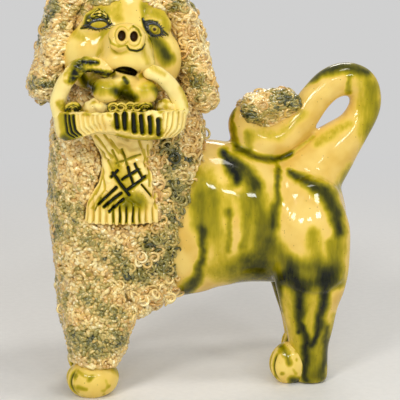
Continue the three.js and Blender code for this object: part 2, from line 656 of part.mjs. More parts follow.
// Cloth: gathered at the waist, with a fluted hem, laid on the breast below the basket.
const CLOTH_TOP = RIM_HEIGHT - BASKET_HEIGHT * 0.8;
function clothStation(drop, width, lean) {
  const height = CLOTH_TOP - drop * CLOTH_LENGTH;
  const y = -chestHalfWidth(height) - MANE_DEPTH - CLOTH_PROUD + CLOTH_DEPTH / 2;
  return [lean * CLOTH_WAIST_WIDTH, y, height, width / 2, CLOTH_DEPTH / 2];
}
const clothForm = {
  stations: [
    clothStation(0, CLOTH_TOP_WIDTH, -0.124),
    clothStation(0.18, CLOTH_TOP_WIDTH * 0.88, -0.076),
    clothStation(0.36, CLOTH_WAIST_WIDTH, -0.029),
    clothStation(0.62, (CLOTH_WAIST_WIDTH + CLOTH_HEM_WIDTH) * 0.465, -0.048),
    clothStation(0.88, CLOTH_HEM_WIDTH * 0.97, -0.095),
    clothStation(1, CLOTH_HEM_WIDTH, -0.114),
  ],
  side: ALONG_X,
  caps: [CLOTH_DEPTH * 0.23, CLOTH_DEPTH * 0.115],
  steps: 5,
  sides: 2 * HEM_FLUTES,
  relief: (column, row, along) =>
    (column % 2 === 0 ? 0.5 : -0.5) * HEM_FLUTE_DEPTH * THREE.MathUtils.smoothstep(along, 0.7, 0.85),
};
const clothShape = (grow) => limbSolid(clothForm, grow);
const clothPlain = (grow) => limbSolid({ ...clothForm, sides: 20, relief: undefined }, grow);

// Head pieces, cut to each other in the head's frame.
const chestInHead = (grow) => chestShape(grow).transform(headFromWorld);
// The flap stays inside its coat where the coat is pressed against the mane.
const flapShape = (side, grow) =>
  earShape(side, grow).subtract(chestInHead(MANE_DEPTH + CURL_RELIEF + EAR_COAT_DEPTH * 0.6 - grow));
const headPieces = {
  head: trim(headShape(0), eggSolid([0, 0, 0], headSize, -WALL, 10), mouth),
  muzzle: trim(muzzleShape(0), headShape(SEAM), mouth),
  lower_jaw: trim(jawShape(0), headShape(SEAM), muzzleShape(SEAM), mouth),
};
const nostrils = [LEFT, RIGHT].map((side) =>
  eggSolid(
    [side * NOSTRIL_SPREAD / 2 - NOSE_OFFSET, NOSE_Y - NOSE_DEPTH / 2, NOSE_Z + 0.5],
    [NOSTRIL_DIAMETER, NOSE_DEPTH * 0.7, NOSTRIL_DIAMETER * 1.4],
    0,
    8,
  ),
);
headPieces.nose = trim(noseShape(0), muzzleShape(SEAM), headShape(SEAM), ...nostrils);
for (const [side, name] of [[LEFT, "left"], [RIGHT, "right"]]) {
  const skull = headShape(SEAM);
  headPieces[`${name}_eyeball`] = trim(eyeballShape(side, 0), skull);
  headPieces[`${name}_eyelid`] = trim(
    eyelidShape(side, 0),
    skull,
    eyeballShape(side, SEAM),
    muzzleShape(SEAM),
  );
  const mane = chestInHead(MANE_DEPTH + CURL_RELIEF + SEAM);
  headPieces[`${name}_ear`] = trim(flapShape(side, 0), skull);
  headPieces[`${name}_ear_coat`] = trim(
    earCoatShape(side, 0),
    skull,
    flapShape(side, SEAM),
    eyelidShape(side, SEAM),
    mane,
  );
}
const earsAndCoats = [LEFT, RIGHT].map((side) => earCoatShape(side, SEAM));
headPieces.topknot = trim(topknotShape(0), headShape(SEAM), chestInHead(SEAM), ...earsAndCoats);

// Everything of the head and the basket that the mane has to leave free.
const inWorld = (shape) => shape.transform(worldFromHead);
const headClearance = [
  headShape(SEAM),
  jawShape(SEAM),
  topknotShape(CURL_RELIEF + SEAM),
  ...earsAndCoats,
].map(inWorld);

const vent = solid(
  new THREE.CylinderGeometry(VENT_DIAMETER / 2, VENT_DIAMETER / 2, TORSO_HEIGHT / 2, 20)
    .rotateX(Math.PI / 2)
    .translate(VENT_SETBACK, 0, BELLY_HEIGHT),
);
const throat = solid(
  new THREE.CylinderGeometry(CHEST_WIDTH / 4, CHEST_WIDTH / 4, CHEST_LENGTH, 24)
    .rotateZ(Math.PI / 2)
    .translate(CHEST_LENGTH / 2, 0, BELLY_HEIGHT + TORSO_HEIGHT * 0.49),
);

const bodyPieces = {
  chest: trim(chestShape(0), inWorld(headShape(SEAM)), inWorld(jawShape(SEAM)), chestHollow, throat),
  torso: trim(torsoShape(0), chestShape(SEAM), torsoHollow, throat, vent),
  tail: trim(tailShape(0), torsoShape(SEAM)),
};
bodyPieces.tail_tuft = trim(limbSolid(tuftForm, 0), tailShape(SEAM), torsoShape(SEAM));

const maneForm = { ...chestForm, steps: 18, sides: 36, relief: tufted };
const manePlain = (grow) => limbSolid({ ...maneForm, relief: undefined }, MANE_DEPTH + grow);
const maneNeighbours = [
  chestShape(SEAM),
  torsoShape(SEAM),
  basketPlain(2 * FLUTE_DEPTH),
  clothPlain(2 * HEM_FLUTE_DEPTH),
  ...headClearance,
];
for (const [side, name] of [[LEFT, "left"], [RIGHT, "right"]]) {
  const hindLeg = limbSolid(hindLegForm(side), 0);
  const hindLegGrown = limbSolid(hindLegForm(side), SEAM);
  const foreleg = (grow) => limbSolid(forelegForm(side), grow);
  const grooves = toeGrooves(side, FOREPAW_X, FORE_STAGGER, forepawSize);
  const hindGrooves = toeGrooves(side, HIND_PAW_X, HIND_PAW_STAGGER, hindPawSize);
  bodyPieces[`${name}_hind_leg`] = trim(hindLeg, torsoShape(SEAM), tailShape(SEAM), ground);
  bodyPieces[`${name}_hind_paw`] = trim(hindPawShape(side, 0), hindLegGrown, ground, ...hindGrooves);
  bodyPieces[`${name}_foreleg`] = trim(foreleg(0), chestShape(SEAM), forepawShape(side, SEAM));
  bodyPieces[`${name}_forepaw`] = trim(forepawShape(side, 0), ground, ...grooves);
  bodyPieces[`${name}_foreleg_coat`] = trim(
    limbSolid(forelegCoatForm(side), LEG_COAT_DEPTH),
    foreleg(SEAM),
    manePlain(CURL_RELIEF + SEAM),
    forepawShape(side, SEAM),
  );
  maneNeighbours.push(foreleg(SEAM));
}
bodyPieces.mane_coat = trim(limbSolid(maneForm, MANE_DEPTH), ...maneNeighbours);

const mouthParts = [muzzleShape(SEAM), jawShape(SEAM), headShape(SEAM)].map(inWorld);
const basketPieces = {
  basket: trim(basketShape(0), chestShape(SEAM), inWorld(jawShape(SEAM))),
  basket_cloth: trim(clothShape(0), chestShape(SEAM), basketFilled(SEAM)),
};
const contents = [
  ["left_bread_roll", (grow) => rollShape(LEFT, grow)],
  ["right_bread_roll", (grow) => rollShape(RIGHT, grow)],
  ["left_flower", (grow) => flowerShape(LEFT, grow)],
  ["right_flower", (grow) => flowerShape(RIGHT, grow)],
  ["leaf", leafShape],
];
const laid = [basketShape(SEAM), ...mouthParts];
for (const [side, name] of [[LEFT, "left"], [RIGHT, "right"]]) {
  basketPieces[`${name}_basket_handle`] = trim(handleShape(side, 0), basketFilled(SEAM), ...mouthParts);
  laid.push(handleShape(side, SEAM));
}
for (const [name, shape] of contents) {
  basketPieces[name] = trim(shape(0), ...laid);
  laid.push(shape(SEAM));
}

// Glazes, by the piece they cover.
const HONEY = { color: "#e2bd62", roughness: 0.18, metalness: 0 };
const CREAM = { color: "#f0d489", roughness: 0.2, metalness: 0 };
const COAT = { color: "#d3b87d", roughness: 0.45, metalness: 0 };
const OLIVE = { color: "#7d7a2c", roughness: 0.2, metalness: 0 };
const DARK = { color: "#241d12", roughness: 0.15, metalness: 0 };
const CLAY = { color: "#c7ae63", roughness: 0.35, metalness: 0 };
function glazeOf(name) {
  if (name.endsWith("coat") || name === "topknot" || name === "tail_tuft") return COAT;
  if (name.endsWith("eyeball")) return DARK;
  if (name === "leaf" || name.endsWith("flower")) return OLIVE;
  if (name === "basket_cloth" || name === "chest") return CLAY;
  if (name in headPieces || name.endsWith("paw") || name.endsWith("roll")) return CREAM;
  return HONEY;
}

function meshOf(name, shape) {
  const { vertProperties, triVerts } = shape.getMesh();
  const geometry = new THREE.BufferGeometry();
  geometry.setAttribute("position", new THREE.BufferAttribute(new Float32Array(vertProperties), 3));
  geometry.setIndex(new THREE.BufferAttribute(new Uint32Array(triVerts), 1));
  geometry.computeVertexNormals();
  const mesh = new THREE.Mesh(geometry, new THREE.MeshStandardMaterial(glazeOf(name)));
  mesh.name = name;
  return mesh;
}

function fill(group, pieces) {
  for (const [name, shape] of Object.entries(pieces)) group.add(meshOf(name, shape));
  return group;
}

const standing = new THREE.Group();
standing.add(fill(new THREE.Group(), bodyPieces));
standing.add(fill(headFrame, headPieces));
standing.add(fill(new THREE.Group(), basketPieces));

// The origin lies on the ground, in the middle of the figure's box.
const box = new THREE.Box3().setFromObject(standing);
standing.position.set(-(box.min.x + box.max.x) / 2, -(box.min.y + box.max.y) / 2, -box.min.z);

const figure = new THREE.Group();
figure.add(standing);
export default figure;
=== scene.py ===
import math

import bpy
import numpy as np
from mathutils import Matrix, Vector, noise
from mathutils.bvhtree import BVHTree


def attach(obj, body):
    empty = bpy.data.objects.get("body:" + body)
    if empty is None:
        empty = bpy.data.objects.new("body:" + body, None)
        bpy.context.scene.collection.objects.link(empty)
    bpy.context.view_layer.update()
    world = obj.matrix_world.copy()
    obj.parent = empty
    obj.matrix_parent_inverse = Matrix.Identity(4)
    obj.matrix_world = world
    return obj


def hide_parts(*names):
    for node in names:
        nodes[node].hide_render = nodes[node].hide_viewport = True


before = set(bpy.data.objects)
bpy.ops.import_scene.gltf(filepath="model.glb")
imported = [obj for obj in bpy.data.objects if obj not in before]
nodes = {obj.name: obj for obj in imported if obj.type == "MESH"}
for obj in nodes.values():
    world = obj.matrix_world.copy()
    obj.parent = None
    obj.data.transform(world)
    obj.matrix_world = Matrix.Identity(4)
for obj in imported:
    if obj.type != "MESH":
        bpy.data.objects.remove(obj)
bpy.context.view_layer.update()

MM = 0.001
ORIGIN = np.array([-49.2, 13.46, 0.0])  # the dog's own origin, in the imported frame
ALONG_X = np.array([1.0, 0.0, 0.0])
ALONG_Y = np.array([0.0, 1.0, 0.0])
LEFT, RIGHT = -1, 1
SIDE_NAMES = {LEFT: "left", RIGHT: "right"}


# Camera, at the viewing angle of the picture

AZIMUTH, ELEVATION = math.radians(-12), math.radians(10)
DISTANCE = 750.0
PIXEL = 0.55  # millimetres of one pixel at the target
PICTURE = 400
SENSOR = 36.0
NEAREST = 0.01  # metres from the camera
TARGET = np.array([46.0, 0.0, 101.1])
BACK = np.array([
    math.sin(AZIMUTH) * math.cos(ELEVATION),
    -math.cos(AZIMUTH) * math.cos(ELEVATION),
    math.sin(ELEVATION),
])
ACROSS = np.array([math.cos(AZIMUTH), math.sin(AZIMUTH), 0.0])
UPWARDS = np.cross(BACK, ACROSS)


def seen(points):
    """Where points of the dog lie in the picture, in pixels from its top left corner."""
    offset = np.asarray(points) - TARGET
    scale = DISTANCE / (DISTANCE - offset @ BACK) / PIXEL
    return PICTURE / 2 + (offset @ ACROSS) * scale, PICTURE / 2 - (offset @ UPWARDS) * scale


def to_frame(points):
    return (np.asarray(points) + ORIGIN) * MM


def add_object(name, data):
    thing = bpy.data.objects.new(name, data)
    bpy.context.scene.collection.objects.link(thing)
    return thing


def place_camera():
    data = bpy.data.cameras.new("camera")
    data.sensor_width = SENSOR
    data.lens = SENSOR * DISTANCE / (PICTURE * PIXEL)
    data.clip_start = NEAREST
    camera = add_object("camera", data)
    camera.location = Vector(to_frame(TARGET + BACK * DISTANCE))
    camera.rotation_euler = Vector(BACK).to_track_quat("Z", "Y").to_euler()
    bpy.context.scene.camera = camera


# Meshes as arrays

def mesh_of(name, points, faces, smooth=True):
    """A mesh from points in metres and a list of arrays of faces, each with one number of corners."""
    mesh = bpy.data.meshes.new(name)
    mesh.vertices.add(len(points))
    mesh.vertices.foreach_set("co", np.asarray(points, np.float32).ravel())
    corners = np.concatenate([np.asarray(f, np.int32).ravel() for f in faces])
    sizes = np.concatenate([np.full(len(f), np.shape(f)[1], np.int32) for f in faces])
    mesh.loops.add(len(corners))
    mesh.loops.foreach_set("vertex_index", corners)
    mesh.polygons.add(len(sizes))
    mesh.polygons.foreach_set("loop_start", np.concatenate([[0], np.cumsum(sizes)[:-1]]).astype(np.int32))
    mesh.polygons.foreach_set("use_smooth", np.full(len(sizes), smooth))
    mesh.update(calc_edges=True)
    mesh.validate()
    return mesh


def read(items, key, width, kind):
    """A value or vector of each item of a mesh, as the rows of an array."""
    values = np.empty(len(items) * width, kind)
    items.foreach_get(key, values)
    return values.reshape(-1, width)


def join(shapes):
    """Several shapes as one."""
    points = np.vstack([p for p, _ in shapes])
    faces, start = [], 0
    for p, f in shapes:
        faces.extend(np.asarray(k) + start for k in f)
        start += len(p)
    return points, faces


def triangles(faces):
    """The faces as triangles."""
    cut = []
    for f in faces:
        f = np.asarray(f)
        cut.extend(f[:, [0, k, k + 1]] for k in range(1, f.shape[1] - 1))
    return np.concatenate(cut)


def unit(vectors):
    return vectors / np.maximum(np.linalg.norm(vectors, axis=-1, keepdims=True), 1e-12)


def normals_of(points, faces):
    t = triangles(faces)
    flat = np.cross(points[t[:, 1]] - points[t[:, 0]], points[t[:, 2]] - points[t[:, 0]])
    return unit(np.stack([
        sum(np.bincount(t[:, corner], flat[:, axis], len(points)) for corner in range(3))
        for axis in range(3)
    ], axis=1))


def edges_of(faces):
    pairs = []
    for f in faces:
        f = np.asarray(f)
        pairs.append(np.stack([f, np.roll(f, -1, axis=1)], axis=2).reshape(-1, 2))
    return np.unique(np.sort(np.concatenate(pairs), axis=1), axis=0)


def relax(values, edges, rounds):
    """Values at the points of a mesh, evened out between neighbours."""
    values = np.array(values, float)
    flat = values.reshape(len(values), -1)
    first, second = edges[:, 0], edges[:, 1]
    count = np.bincount(edges.ravel(), minlength=len(values))[:, None]
    for _ in range(rounds):
        total = np.stack([
            np.bincount(first, column[second], len(values))
            + np.bincount(second, column[first], len(values))
            for column in flat.T
        ], axis=1)
        flat += (total / np.maximum(count, 1) - flat) / 2
    return flat.reshape(values.shape)


def solid_of(node):
    """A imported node's points and triangles in the dog's frame."""
    mesh = nodes[node].data
    mesh.calc_loop_triangles()
    points = read(mesh.vertices, "co", 3, np.float32).astype(float) / MM - ORIGIN
    return points, read(mesh.loop_triangles, "vertices", 3, np.int32)


def tree_of(shapes):
    """A search tree over several shapes, and the number of the shape of each of its faces."""
    points, faces, owner, start = [], [], [], 0
    for number, (shape, corners) in enumerate(shapes):
        points.append(shape)
        faces.append(corners + start)
        owner.append(np.full(len(corners), number))
        start += len(shape)
    tree = BVHTree.FromPolygons(np.concatenate(points).tolist(), np.concatenate(faces).tolist())
    return tree, np.concatenate(owner)


def smoothstep(value, low, high):
    share = np.clip((np.asarray(value, float) - low) / (high - low), 0, 1)
    return share * share * (3 - 2 * share)


def band(value, rise_low, rise_high, fall_low, fall_high):
    return smoothstep(value, rise_low, rise_high) * (1 - smoothstep(value, fall_low, fall_high))


def bell(value, middle, width):
    return np.exp(-(((value - middle) / width) ** 2))


def turned(u, v, angle):
    """Two coordinates after a turn from the first axis towards the second."""
    return u * math.cos(angle) - v * math.sin(angle), u * math.sin(angle) + v * math.cos(angle)


def ripple(points, size, seed):
    """Soft noise from -1 to 1 at points, with bumps of about that size."""
    shift = Vector((seed * 17.3, seed * 5.1, seed * 9.7))
    return np.array([noise.noise(Vector(p) / size + shift) for p in np.asarray(points).tolist()])


# Limbs of clay

CAP_RINGS = 10
SMALL_STEP = 1e-3  # share of a spine over which its direction is measured
TUBE_GUIDE = np.array([0.31, 0.52, 0.79])  # a skew direction, square to which a tube's rings start
TUBE_TIP = 0.6  # how far a tube's tip stands out, as a share of half its thickness


def spline(stations, at):
    """A smooth curve through stations, at shares from 0 to 1."""
    p = np.asarray(stations, float)
    run = np.vstack([2 * p[0] - p[1], p, 2 * p[-1] - p[-2]])
    gaps = np.sqrt(np.linalg.norm(np.diff(run, axis=0), axis=1))
    gaps = np.where(gaps < 1e-4, 1.0, gaps)
    spans = len(p) - 1
    place = np.clip(at, 0, 1) * spans
    i = np.minimum(place.astype(int), spans - 1)
    w = (place - i)[:, None]
    before, here, after = gaps[i][:, None], gaps[i + 1][:, None], gaps[i + 2][:, None]
    a, b, c, d = run[i], run[i + 1], run[i + 2], run[i + 3]
    leave = ((b - a) / before - (c - a) / (before + here) + (c - b) / here) * here
    arrive = ((c - b) / here - (d - b) / (here + after) + (d - c) / after) * here
    return (
        (2 * w**3 - 3 * w**2 + 1) * b
        + (w**3 - 2 * w**2 + w) * leave
        + (3 * w**2 - 2 * w**3) * c
        + (w**3 - w**2) * arrive
    )


def closed(rings, tips):
    """Points and faces of a closed skin: rings of points, with a tip at either end."""
    count, sides = rings.shape[:2]
    index = np.arange(count * sides).reshape(count, sides)
    ahead = np.roll(index, -1, axis=1)
    quads = np.stack([index[:-1], ahead[:-1], ahead[1:], index[1:]], axis=2).reshape(-1, 4)
    first, last = np.full(sides, count * sides), np.full(sides, count * sides + 1)
    ends = np.concatenate([
        np.stack([first, ahead[0], index[0]], axis=1),
        np.stack([last, index[-1], ahead[-1]], axis=1),
    ])
    return np.vstack([rings.reshape(-1, 3), tips]), [quads, ends]


def limb(stations, side, caps, steps, sides):
    """A closed limb: oval sections along a spine, with rounded ends.
    A station is x, y, z, half the width along the side axis, and half the width square to it.
    Gives points, faces, and each point's share of the way along and angle round the spine."""
    stations = np.asarray(stations, float)
    rising = np.arange(1, CAP_RINGS + 1) / (CAP_RINGS + 1)
    along = np.concatenate([np.zeros(CAP_RINGS), np.linspace(0, 1, steps + 1), np.ones(CAP_RINGS)])
    turn = np.concatenate([(1 - rising) * math.pi / 2, np.zeros(steps + 1), rising * math.pi / 2])
    reach = np.concatenate([np.full(CAP_RINGS, -caps[0]), np.zeros(steps + 1), np.full(CAP_RINGS, caps[1])])
    spine, after, before = (
        spline(stations[:, :3], along + step) for step in (0, SMALL_STEP, -SMALL_STEP)
    )
    tangent = unit(after - before)
    size = spline(stations[:, 3:5], along) * np.cos(turn)[:, None]
    across = unit(side - (tangent @ side)[:, None] * tangent)
    deep = np.cross(tangent, across)
    angle = np.arange(sides) * 2 * math.pi / sides
    wide = np.cos(angle)[None, :, None] * size[:, 0, None, None]
    tall = np.sin(angle)[None, :, None] * size[:, 1, None, None]
    centre = spine + tangent * (reach * np.sin(turn))[:, None]
    rings = centre[:, None] + wide * across[:, None] + tall * deep[:, None]
    points, faces = closed(rings, [spine[0] - tangent[0] * caps[0], spine[-1] + tangent[-1] * caps[1]])
    share = np.concatenate([np.repeat(along, sides), [0, 1]])
    bearing = np.concatenate([np.tile(angle, len(along)), [0, 0]])
    return points, faces, share, bearing


def egg(middle, size, segments=48):
    """A closed egg with its middle and its full width, depth and height."""
    lift = np.linspace(-math.pi / 2, math.pi / 2, segments // 2 + 1)[1:-1]
    turn = np.arange(segments) * 2 * math.pi / segments
    rings = np.stack([
        np.cos(lift)[:, None] * np.cos(turn),
        np.cos(lift)[:, None] * np.sin(turn),
        np.repeat(np.sin(lift)[:, None], segments, axis=1),
    ], axis=2)
    points, faces = closed(rings, [[0, 0, -1], [0, 0, 1]])
    return points * np.asarray(size) / 2 + np.asarray(middle), faces


def tube(path, thick, sides=8):
    """A closed tube along points, with half its thickness at each of them."""
    thick = np.broadcast_to(np.asarray(thick, float), (len(path),))
    tangent = unit(np.gradient(path, axis=0))
    side = unit(np.cross(tangent, TUBE_GUIDE))
    deep = np.cross(tangent, side)
    turn = np.arange(sides) * 2 * math.pi / sides
    rings = path[:, None] + thick[:, None, None] * (
        np.cos(turn)[:, None] * side[:, None] + np.sin(turn)[:, None] * deep[:, None]
    )
    reach = TUBE_TIP * tangent * thick[:, None]
    return closed(rings, [path[0] - reach[0], path[-1] + reach[-1]])


def melt(shapes, voxel, cutters=()):
    """Shapes pressed into one lump: the outside of their union less the cutters, as points and faces."""
    lump = add_object("lump", mesh_of("lump", *join(shapes)))
    made = [lump]

    def fuse():
        fused = lump.modifiers.new("fused", "REMESH")
        fused.mode = "VOXEL"
        fused.voxel_size = voxel

    fuse()
    if cutters:
        cutter = add_object("cutter", mesh_of("cutter", *join(cutters)))
        made.append(cutter)
        cut = lump.modifiers.new("cut", "BOOLEAN")
        cut.operation = "DIFFERENCE"
        cut.solver = "EXACT"
        cut.use_self = True
        cut.object = cutter
        fuse()
    bpy.context.view_layer.update()
    result = bpy.data.meshes.new_from_object(lump.evaluated_get(bpy.context.evaluated_depsgraph_get()))
    points = read(result.vertices, "co", 3, np.float32).astype(float)
    quads = read(result.loops, "vertex_index", 1, np.int32).reshape(-1, 4)
    for old in made:
        mesh = old.data
        bpy.data.objects.remove(old)
        bpy.data.meshes.remove(mesh)
    bpy.data.meshes.remove(result)
    return points, [quads]


# Pieces

def add_piece(name, points, faces, material, slot, replaced=(), marks=None, normals=None):
    """A piece in the dog's frame. Marks are values at its points that its material reads."""
    mesh = mesh_of(name, to_frame(points), faces)
    for key, values in (marks or {}).items():
        attribute = mesh.attributes.new(key, "FLOAT", "POINT")
        attribute.data.foreach_set("value", np.asarray(values, np.float32))
    if normals is not None:
        mesh.normals_split_custom_set_from_vertices(normals.astype(np.float32).tolist())
    mesh.materials.append(material)
    piece = add_object(name, mesh)
    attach(piece, "root")
    if replaced:
        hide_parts(*replaced)


def add_glazed(node, points, faces, material, slot, marks, normals=None):
    """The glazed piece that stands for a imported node."""
    add_piece(node + "_glazed", points, faces, material, slot, (node,), marks, normals)


def add_shells(points, faces, normals, owners, wall, material, slot, marks):
    """A melted lump's skin as closed shells with a wall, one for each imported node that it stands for."""
    for node, patch in split(points, faces, owners).items():
        used, local = np.unique(patch.ravel(), return_inverse=True)
        quads = local.reshape(-1, 4)
        outer, out = points[used], normals[used]
        count = len(used)
        pairs = np.stack([quads, np.roll(quads, -1, axis=1)], axis=2).reshape(-1, 2)
        edge = np.sort(pairs, axis=1) @ np.array([count, 1])
        _, first, times = np.unique(edge, return_index=True, return_counts=True)
        rim = pairs[first[times == 1]]
        between = np.stack([rim[:, 1], rim[:, 0], rim[:, 0] + count, rim[:, 1] + count], axis=1)
        add_glazed(
            node, np.vstack([outer, outer - out * wall]), [quads, quads[:, ::-1] + count, between],
            material, slot, {key: np.tile(values[used], 2) for key, values in marks.items()},
            np.vstack([out, -out]),
        )


def split(points, faces, owners):
    """The faces of a melted lump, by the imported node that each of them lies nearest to."""
    tree, owner = tree_of([solid_of(node) for node in owners])
    quads = faces[0]
    middles = points[quads].mean(axis=1)
    label = np.array([owner[tree.find_nearest(p)[2]] for p in middles.tolist()])
    return {node: quads[label == number] for number, node in enumerate(owners)}


# Glaze runs, with a few strokes of painted shade, as strokes in the picture: the strength, then x, y and
# half the width at each point

def beside(px, py, start, end):
    """How far along a line in the picture pixels lie, from 0 to 1, and how far away from it."""
    dx, dy = end[0] - start[0], end[1] - start[1]
    t = np.clip(((px - start[0]) * dx + (py - start[1]) * dy) / (dx * dx + dy * dy), 0, 1)
    return t, np.hypot(px - start[0] - t * dx, py - start[1] - t * dy)


def stroke(px, py, points, soft):
    """How much of a stroke lies at pixels, from 0 to 1."""
    result = np.zeros(len(px))
    for start, end in zip(points[:-1], points[1:]):
        t, away = beside(px, py, start, end)
        half = start[2] + t * (end[2] - start[2])
        result = np.maximum(result, 1 - smoothstep(away / half, 1 - soft, 1 + soft))
    return result


def glaze_at(points, strokes, wander=2.0, soft=0.85, seed=1):
    """Green glaze at points, from 0 for clear honey glaze to 1 for the darkest pools. Strokes of painted
    shade are drawn the same way.
    """
    px, py = seen(points)
    px = px + wander * ripple(points, 8.0, seed) + 0.4 * wander * ripple(points, 2.5, seed + 3)
    py = py + wander * ripple(points, 14.0, seed + 1)
    clear = np.ones(len(px))
    for strength, *run in strokes:
        clear *= 1 - np.minimum(strength, 0.999) * stroke(px, py, run, soft)
    return 1 - clear


BODY_RUNS = [
    (0.45, (204, 180, 12), (207, 205, 15), (205, 228, 12)),
    (0.3, (199, 196, 8), (198, 222, 7)),
    (0.3, (213, 190, 6), (215, 222, 5)),
    (0.75, (202, 228, 4), (203, 258, 3.5), (198, 278, 4.5), (186, 291, 6)),
    (0.35, (196, 280, 6), (184, 290, 7)),
    (0.98, (223, 152, 5), (229, 159, 7), (232, 170, 7), (237, 180, 5)),
    (0.75, (236, 162, 6), (246, 174, 8), (257, 185, 6)),
    (0.3, (229, 186, 6), (231, 212, 6)),
    (0.5, (229, 212, 3), (229, 250, 3)),
    (0.5, (244, 196, 6), (246, 214, 5), (244, 246, 4)),
    (0.62, (256, 190, 8), (262, 225, 10), (262, 262, 12)),
    (0.25, (268, 220, 8), (268, 258, 9)),
    (0.72, (277, 168, 3.5), (277, 200, 4), (274, 226, 5)),
    (0.72, (244, 262, 9), (258, 272, 13), (276, 280, 10)),
    (0.45, (232, 268, 8), (244, 284, 8)),
    # painted shade on the belly
    (0.2, (206, 268, 8), (232, 284, 8)),
    (0.32, (217, 236, 9), (220, 268, 10)),
    (0.55, (274, 240, 7), (282, 258, 8), (290, 266, 8)),
    (0.82, (290, 172, 4), (304, 180, 6), (317, 188, 7), (330, 202, 7), (340, 232, 5)),
    (0.4, (318, 186, 5), (332, 196, 6), (338, 212, 5)),
    (0.5, (338, 220, 6), (340, 280, 7)),
    (0.45, (314, 234, 7), (316, 262, 8)),
    (0.4, (330, 244, 4), (332, 278, 5)),
    (0.6, (292, 264, 8), (310, 268, 10), (332, 272, 9)),
    (0.72, (284, 278, 6), (306, 284, 7), (332, 284, 7)),
    (0.92, (292, 272, 6), (298, 290, 6), (301, 310, 5), (299, 334, 2)),
    (0.9, (324, 276, 7), (325, 296, 5), (321, 322, 4.5), (314, 346, 2.5)),
    (0.55, (280, 284, 4), (279, 300, 3), (281, 312, 2)),
    (0.92, (302, 324, 2), (307, 344, 4), (306, 364, 3.5), (307, 381, 4)),
    (0.75, (327, 328, 3), (325, 350, 5), (321, 376, 5)),
    # painted shade over the hind leg
    (0.36, (300, 296, 20), (308, 376, 18)),
    (0.3, (313, 340, 4), (314, 381, 4)),
    (0.35, (335, 316, 3), (331, 344, 4)),
    (0.8, (306, 84, 3), (321, 71, 5), (343, 65, 6.5), (366, 73, 5)),
    (0.55, (349, 76, 2.5), (348, 92, 3)),
    (0.42, (374, 88, 7), (378, 118, 7), (367, 158, 7)),
    (0.36, (366, 84, 9), (367, 134, 10)),
    (0.45, (350, 168, 6), (340, 186, 6)),
    (0.3, (346, 124, 5), (330, 136, 6), (316, 144, 5)),
    (0.8, (238, 147, 3.5), (256, 157, 4), (276, 159, 3.5), (290, 153, 3)),
    (0.6, (235, 108, 2), (231, 122, 2), (235, 144, 3)),
    (0.25, (250, 132, 6), (280, 136, 5), (302, 114, 5)),
    (0.4, (248, 134, 4), (250, 148, 4)),
    # painted shade in the crease where the tail's curl lies on its rise
    (0.3, (290, 154, 2), (302, 146, 2), (313, 137, 2)),
]
# Where the tail's curl lies on its rise, as a stroke without a strength
TAIL_CREASE = [(282, 158, 1.5), (292, 153, 2), (303, 145, 2), (314, 135, 1.5)]
# x and z of the haunch's lower edge
HAUNCH_EDGE = [(85.4, 59.3), (92.2, 56.2), (97.9, 54.2), (109.2, 54.2), (116.5, 58.3)]

BODY_LONG, BODY_TALL, BODY_WIDE, BELLY = 128.0, 84.0, 64.0, 52.0
TORSO = [  # shares of the body's length, width and height, and of its height above the belly
    (0.16, 0.66, 1.04, 0.455), (0.3, 0.78, 1.03, 0.475), (0.4, 0.93, 0.995, 0.487),
    (0.52, 0.99, 0.925, 0.47), (0.67, 0.95, 0.82, 0.43), (0.81, 0.97, 0.833, 0.43),
    (0.905, 0.84, 0.74, 0.44),
]
TAIL = [  # x, z, width and thickness
    (106.4, 110.4, 35.0, 39.0), (121.9, 127.6, 27.0, 29.5), (135.3, 141.6, 18.0, 19.0),
    (140.4, 153.2, 17.0, 18.0), (137.8, 163.2, 17.0, 18.0), (129.4, 166.3, 18.0, 18.8),
    (120.1, 164.0, 18.0, 18.5), (111.2, 156.0, 17.5, 18.0), (103.6, 145.4, 17.5, 18.5),
    (94.2, 135.4, 18.0, 19.5), (83.0, 131.8, 18.0, 19.5), (72.9, 135.6, 17.0, 18.0),
    (69.2, 143.6, 14.5, 15.5), (70.5, 149.0, 12.0, 12.5),
]
HIND_LEG_X = 103.0
HIP = 104.1
HIND_LEG = [  # height, shift along x, distance between the two legs, length and depth
    (HIP, 0, 40, 33.9, 20), (83.9, 0, 47.5, 44, 26.5), (63, 0, 48, 42.5, 27),
    (54, 0.2, 46.5, 39, 25), (44.2, 0.2, 42.5, 33.4, 21.5), (31.2, 0.8, 39.9, 27, 21),
    (19.8, 0.6, 38, 22.5, 19.4), (4.2, 1.8, 38, 20, 18.8),
]
RIGHT_FOOT_BACK, RIGHT_HAUNCH_BACK, RIGHT_HIP_BACK = 8, 7.0, 6  # behind those of the left leg
GROUND_GAP = 0.05  # how far soles stay above the ground
BODY_VOXEL, BODY_WALL = 1.0, 2.5


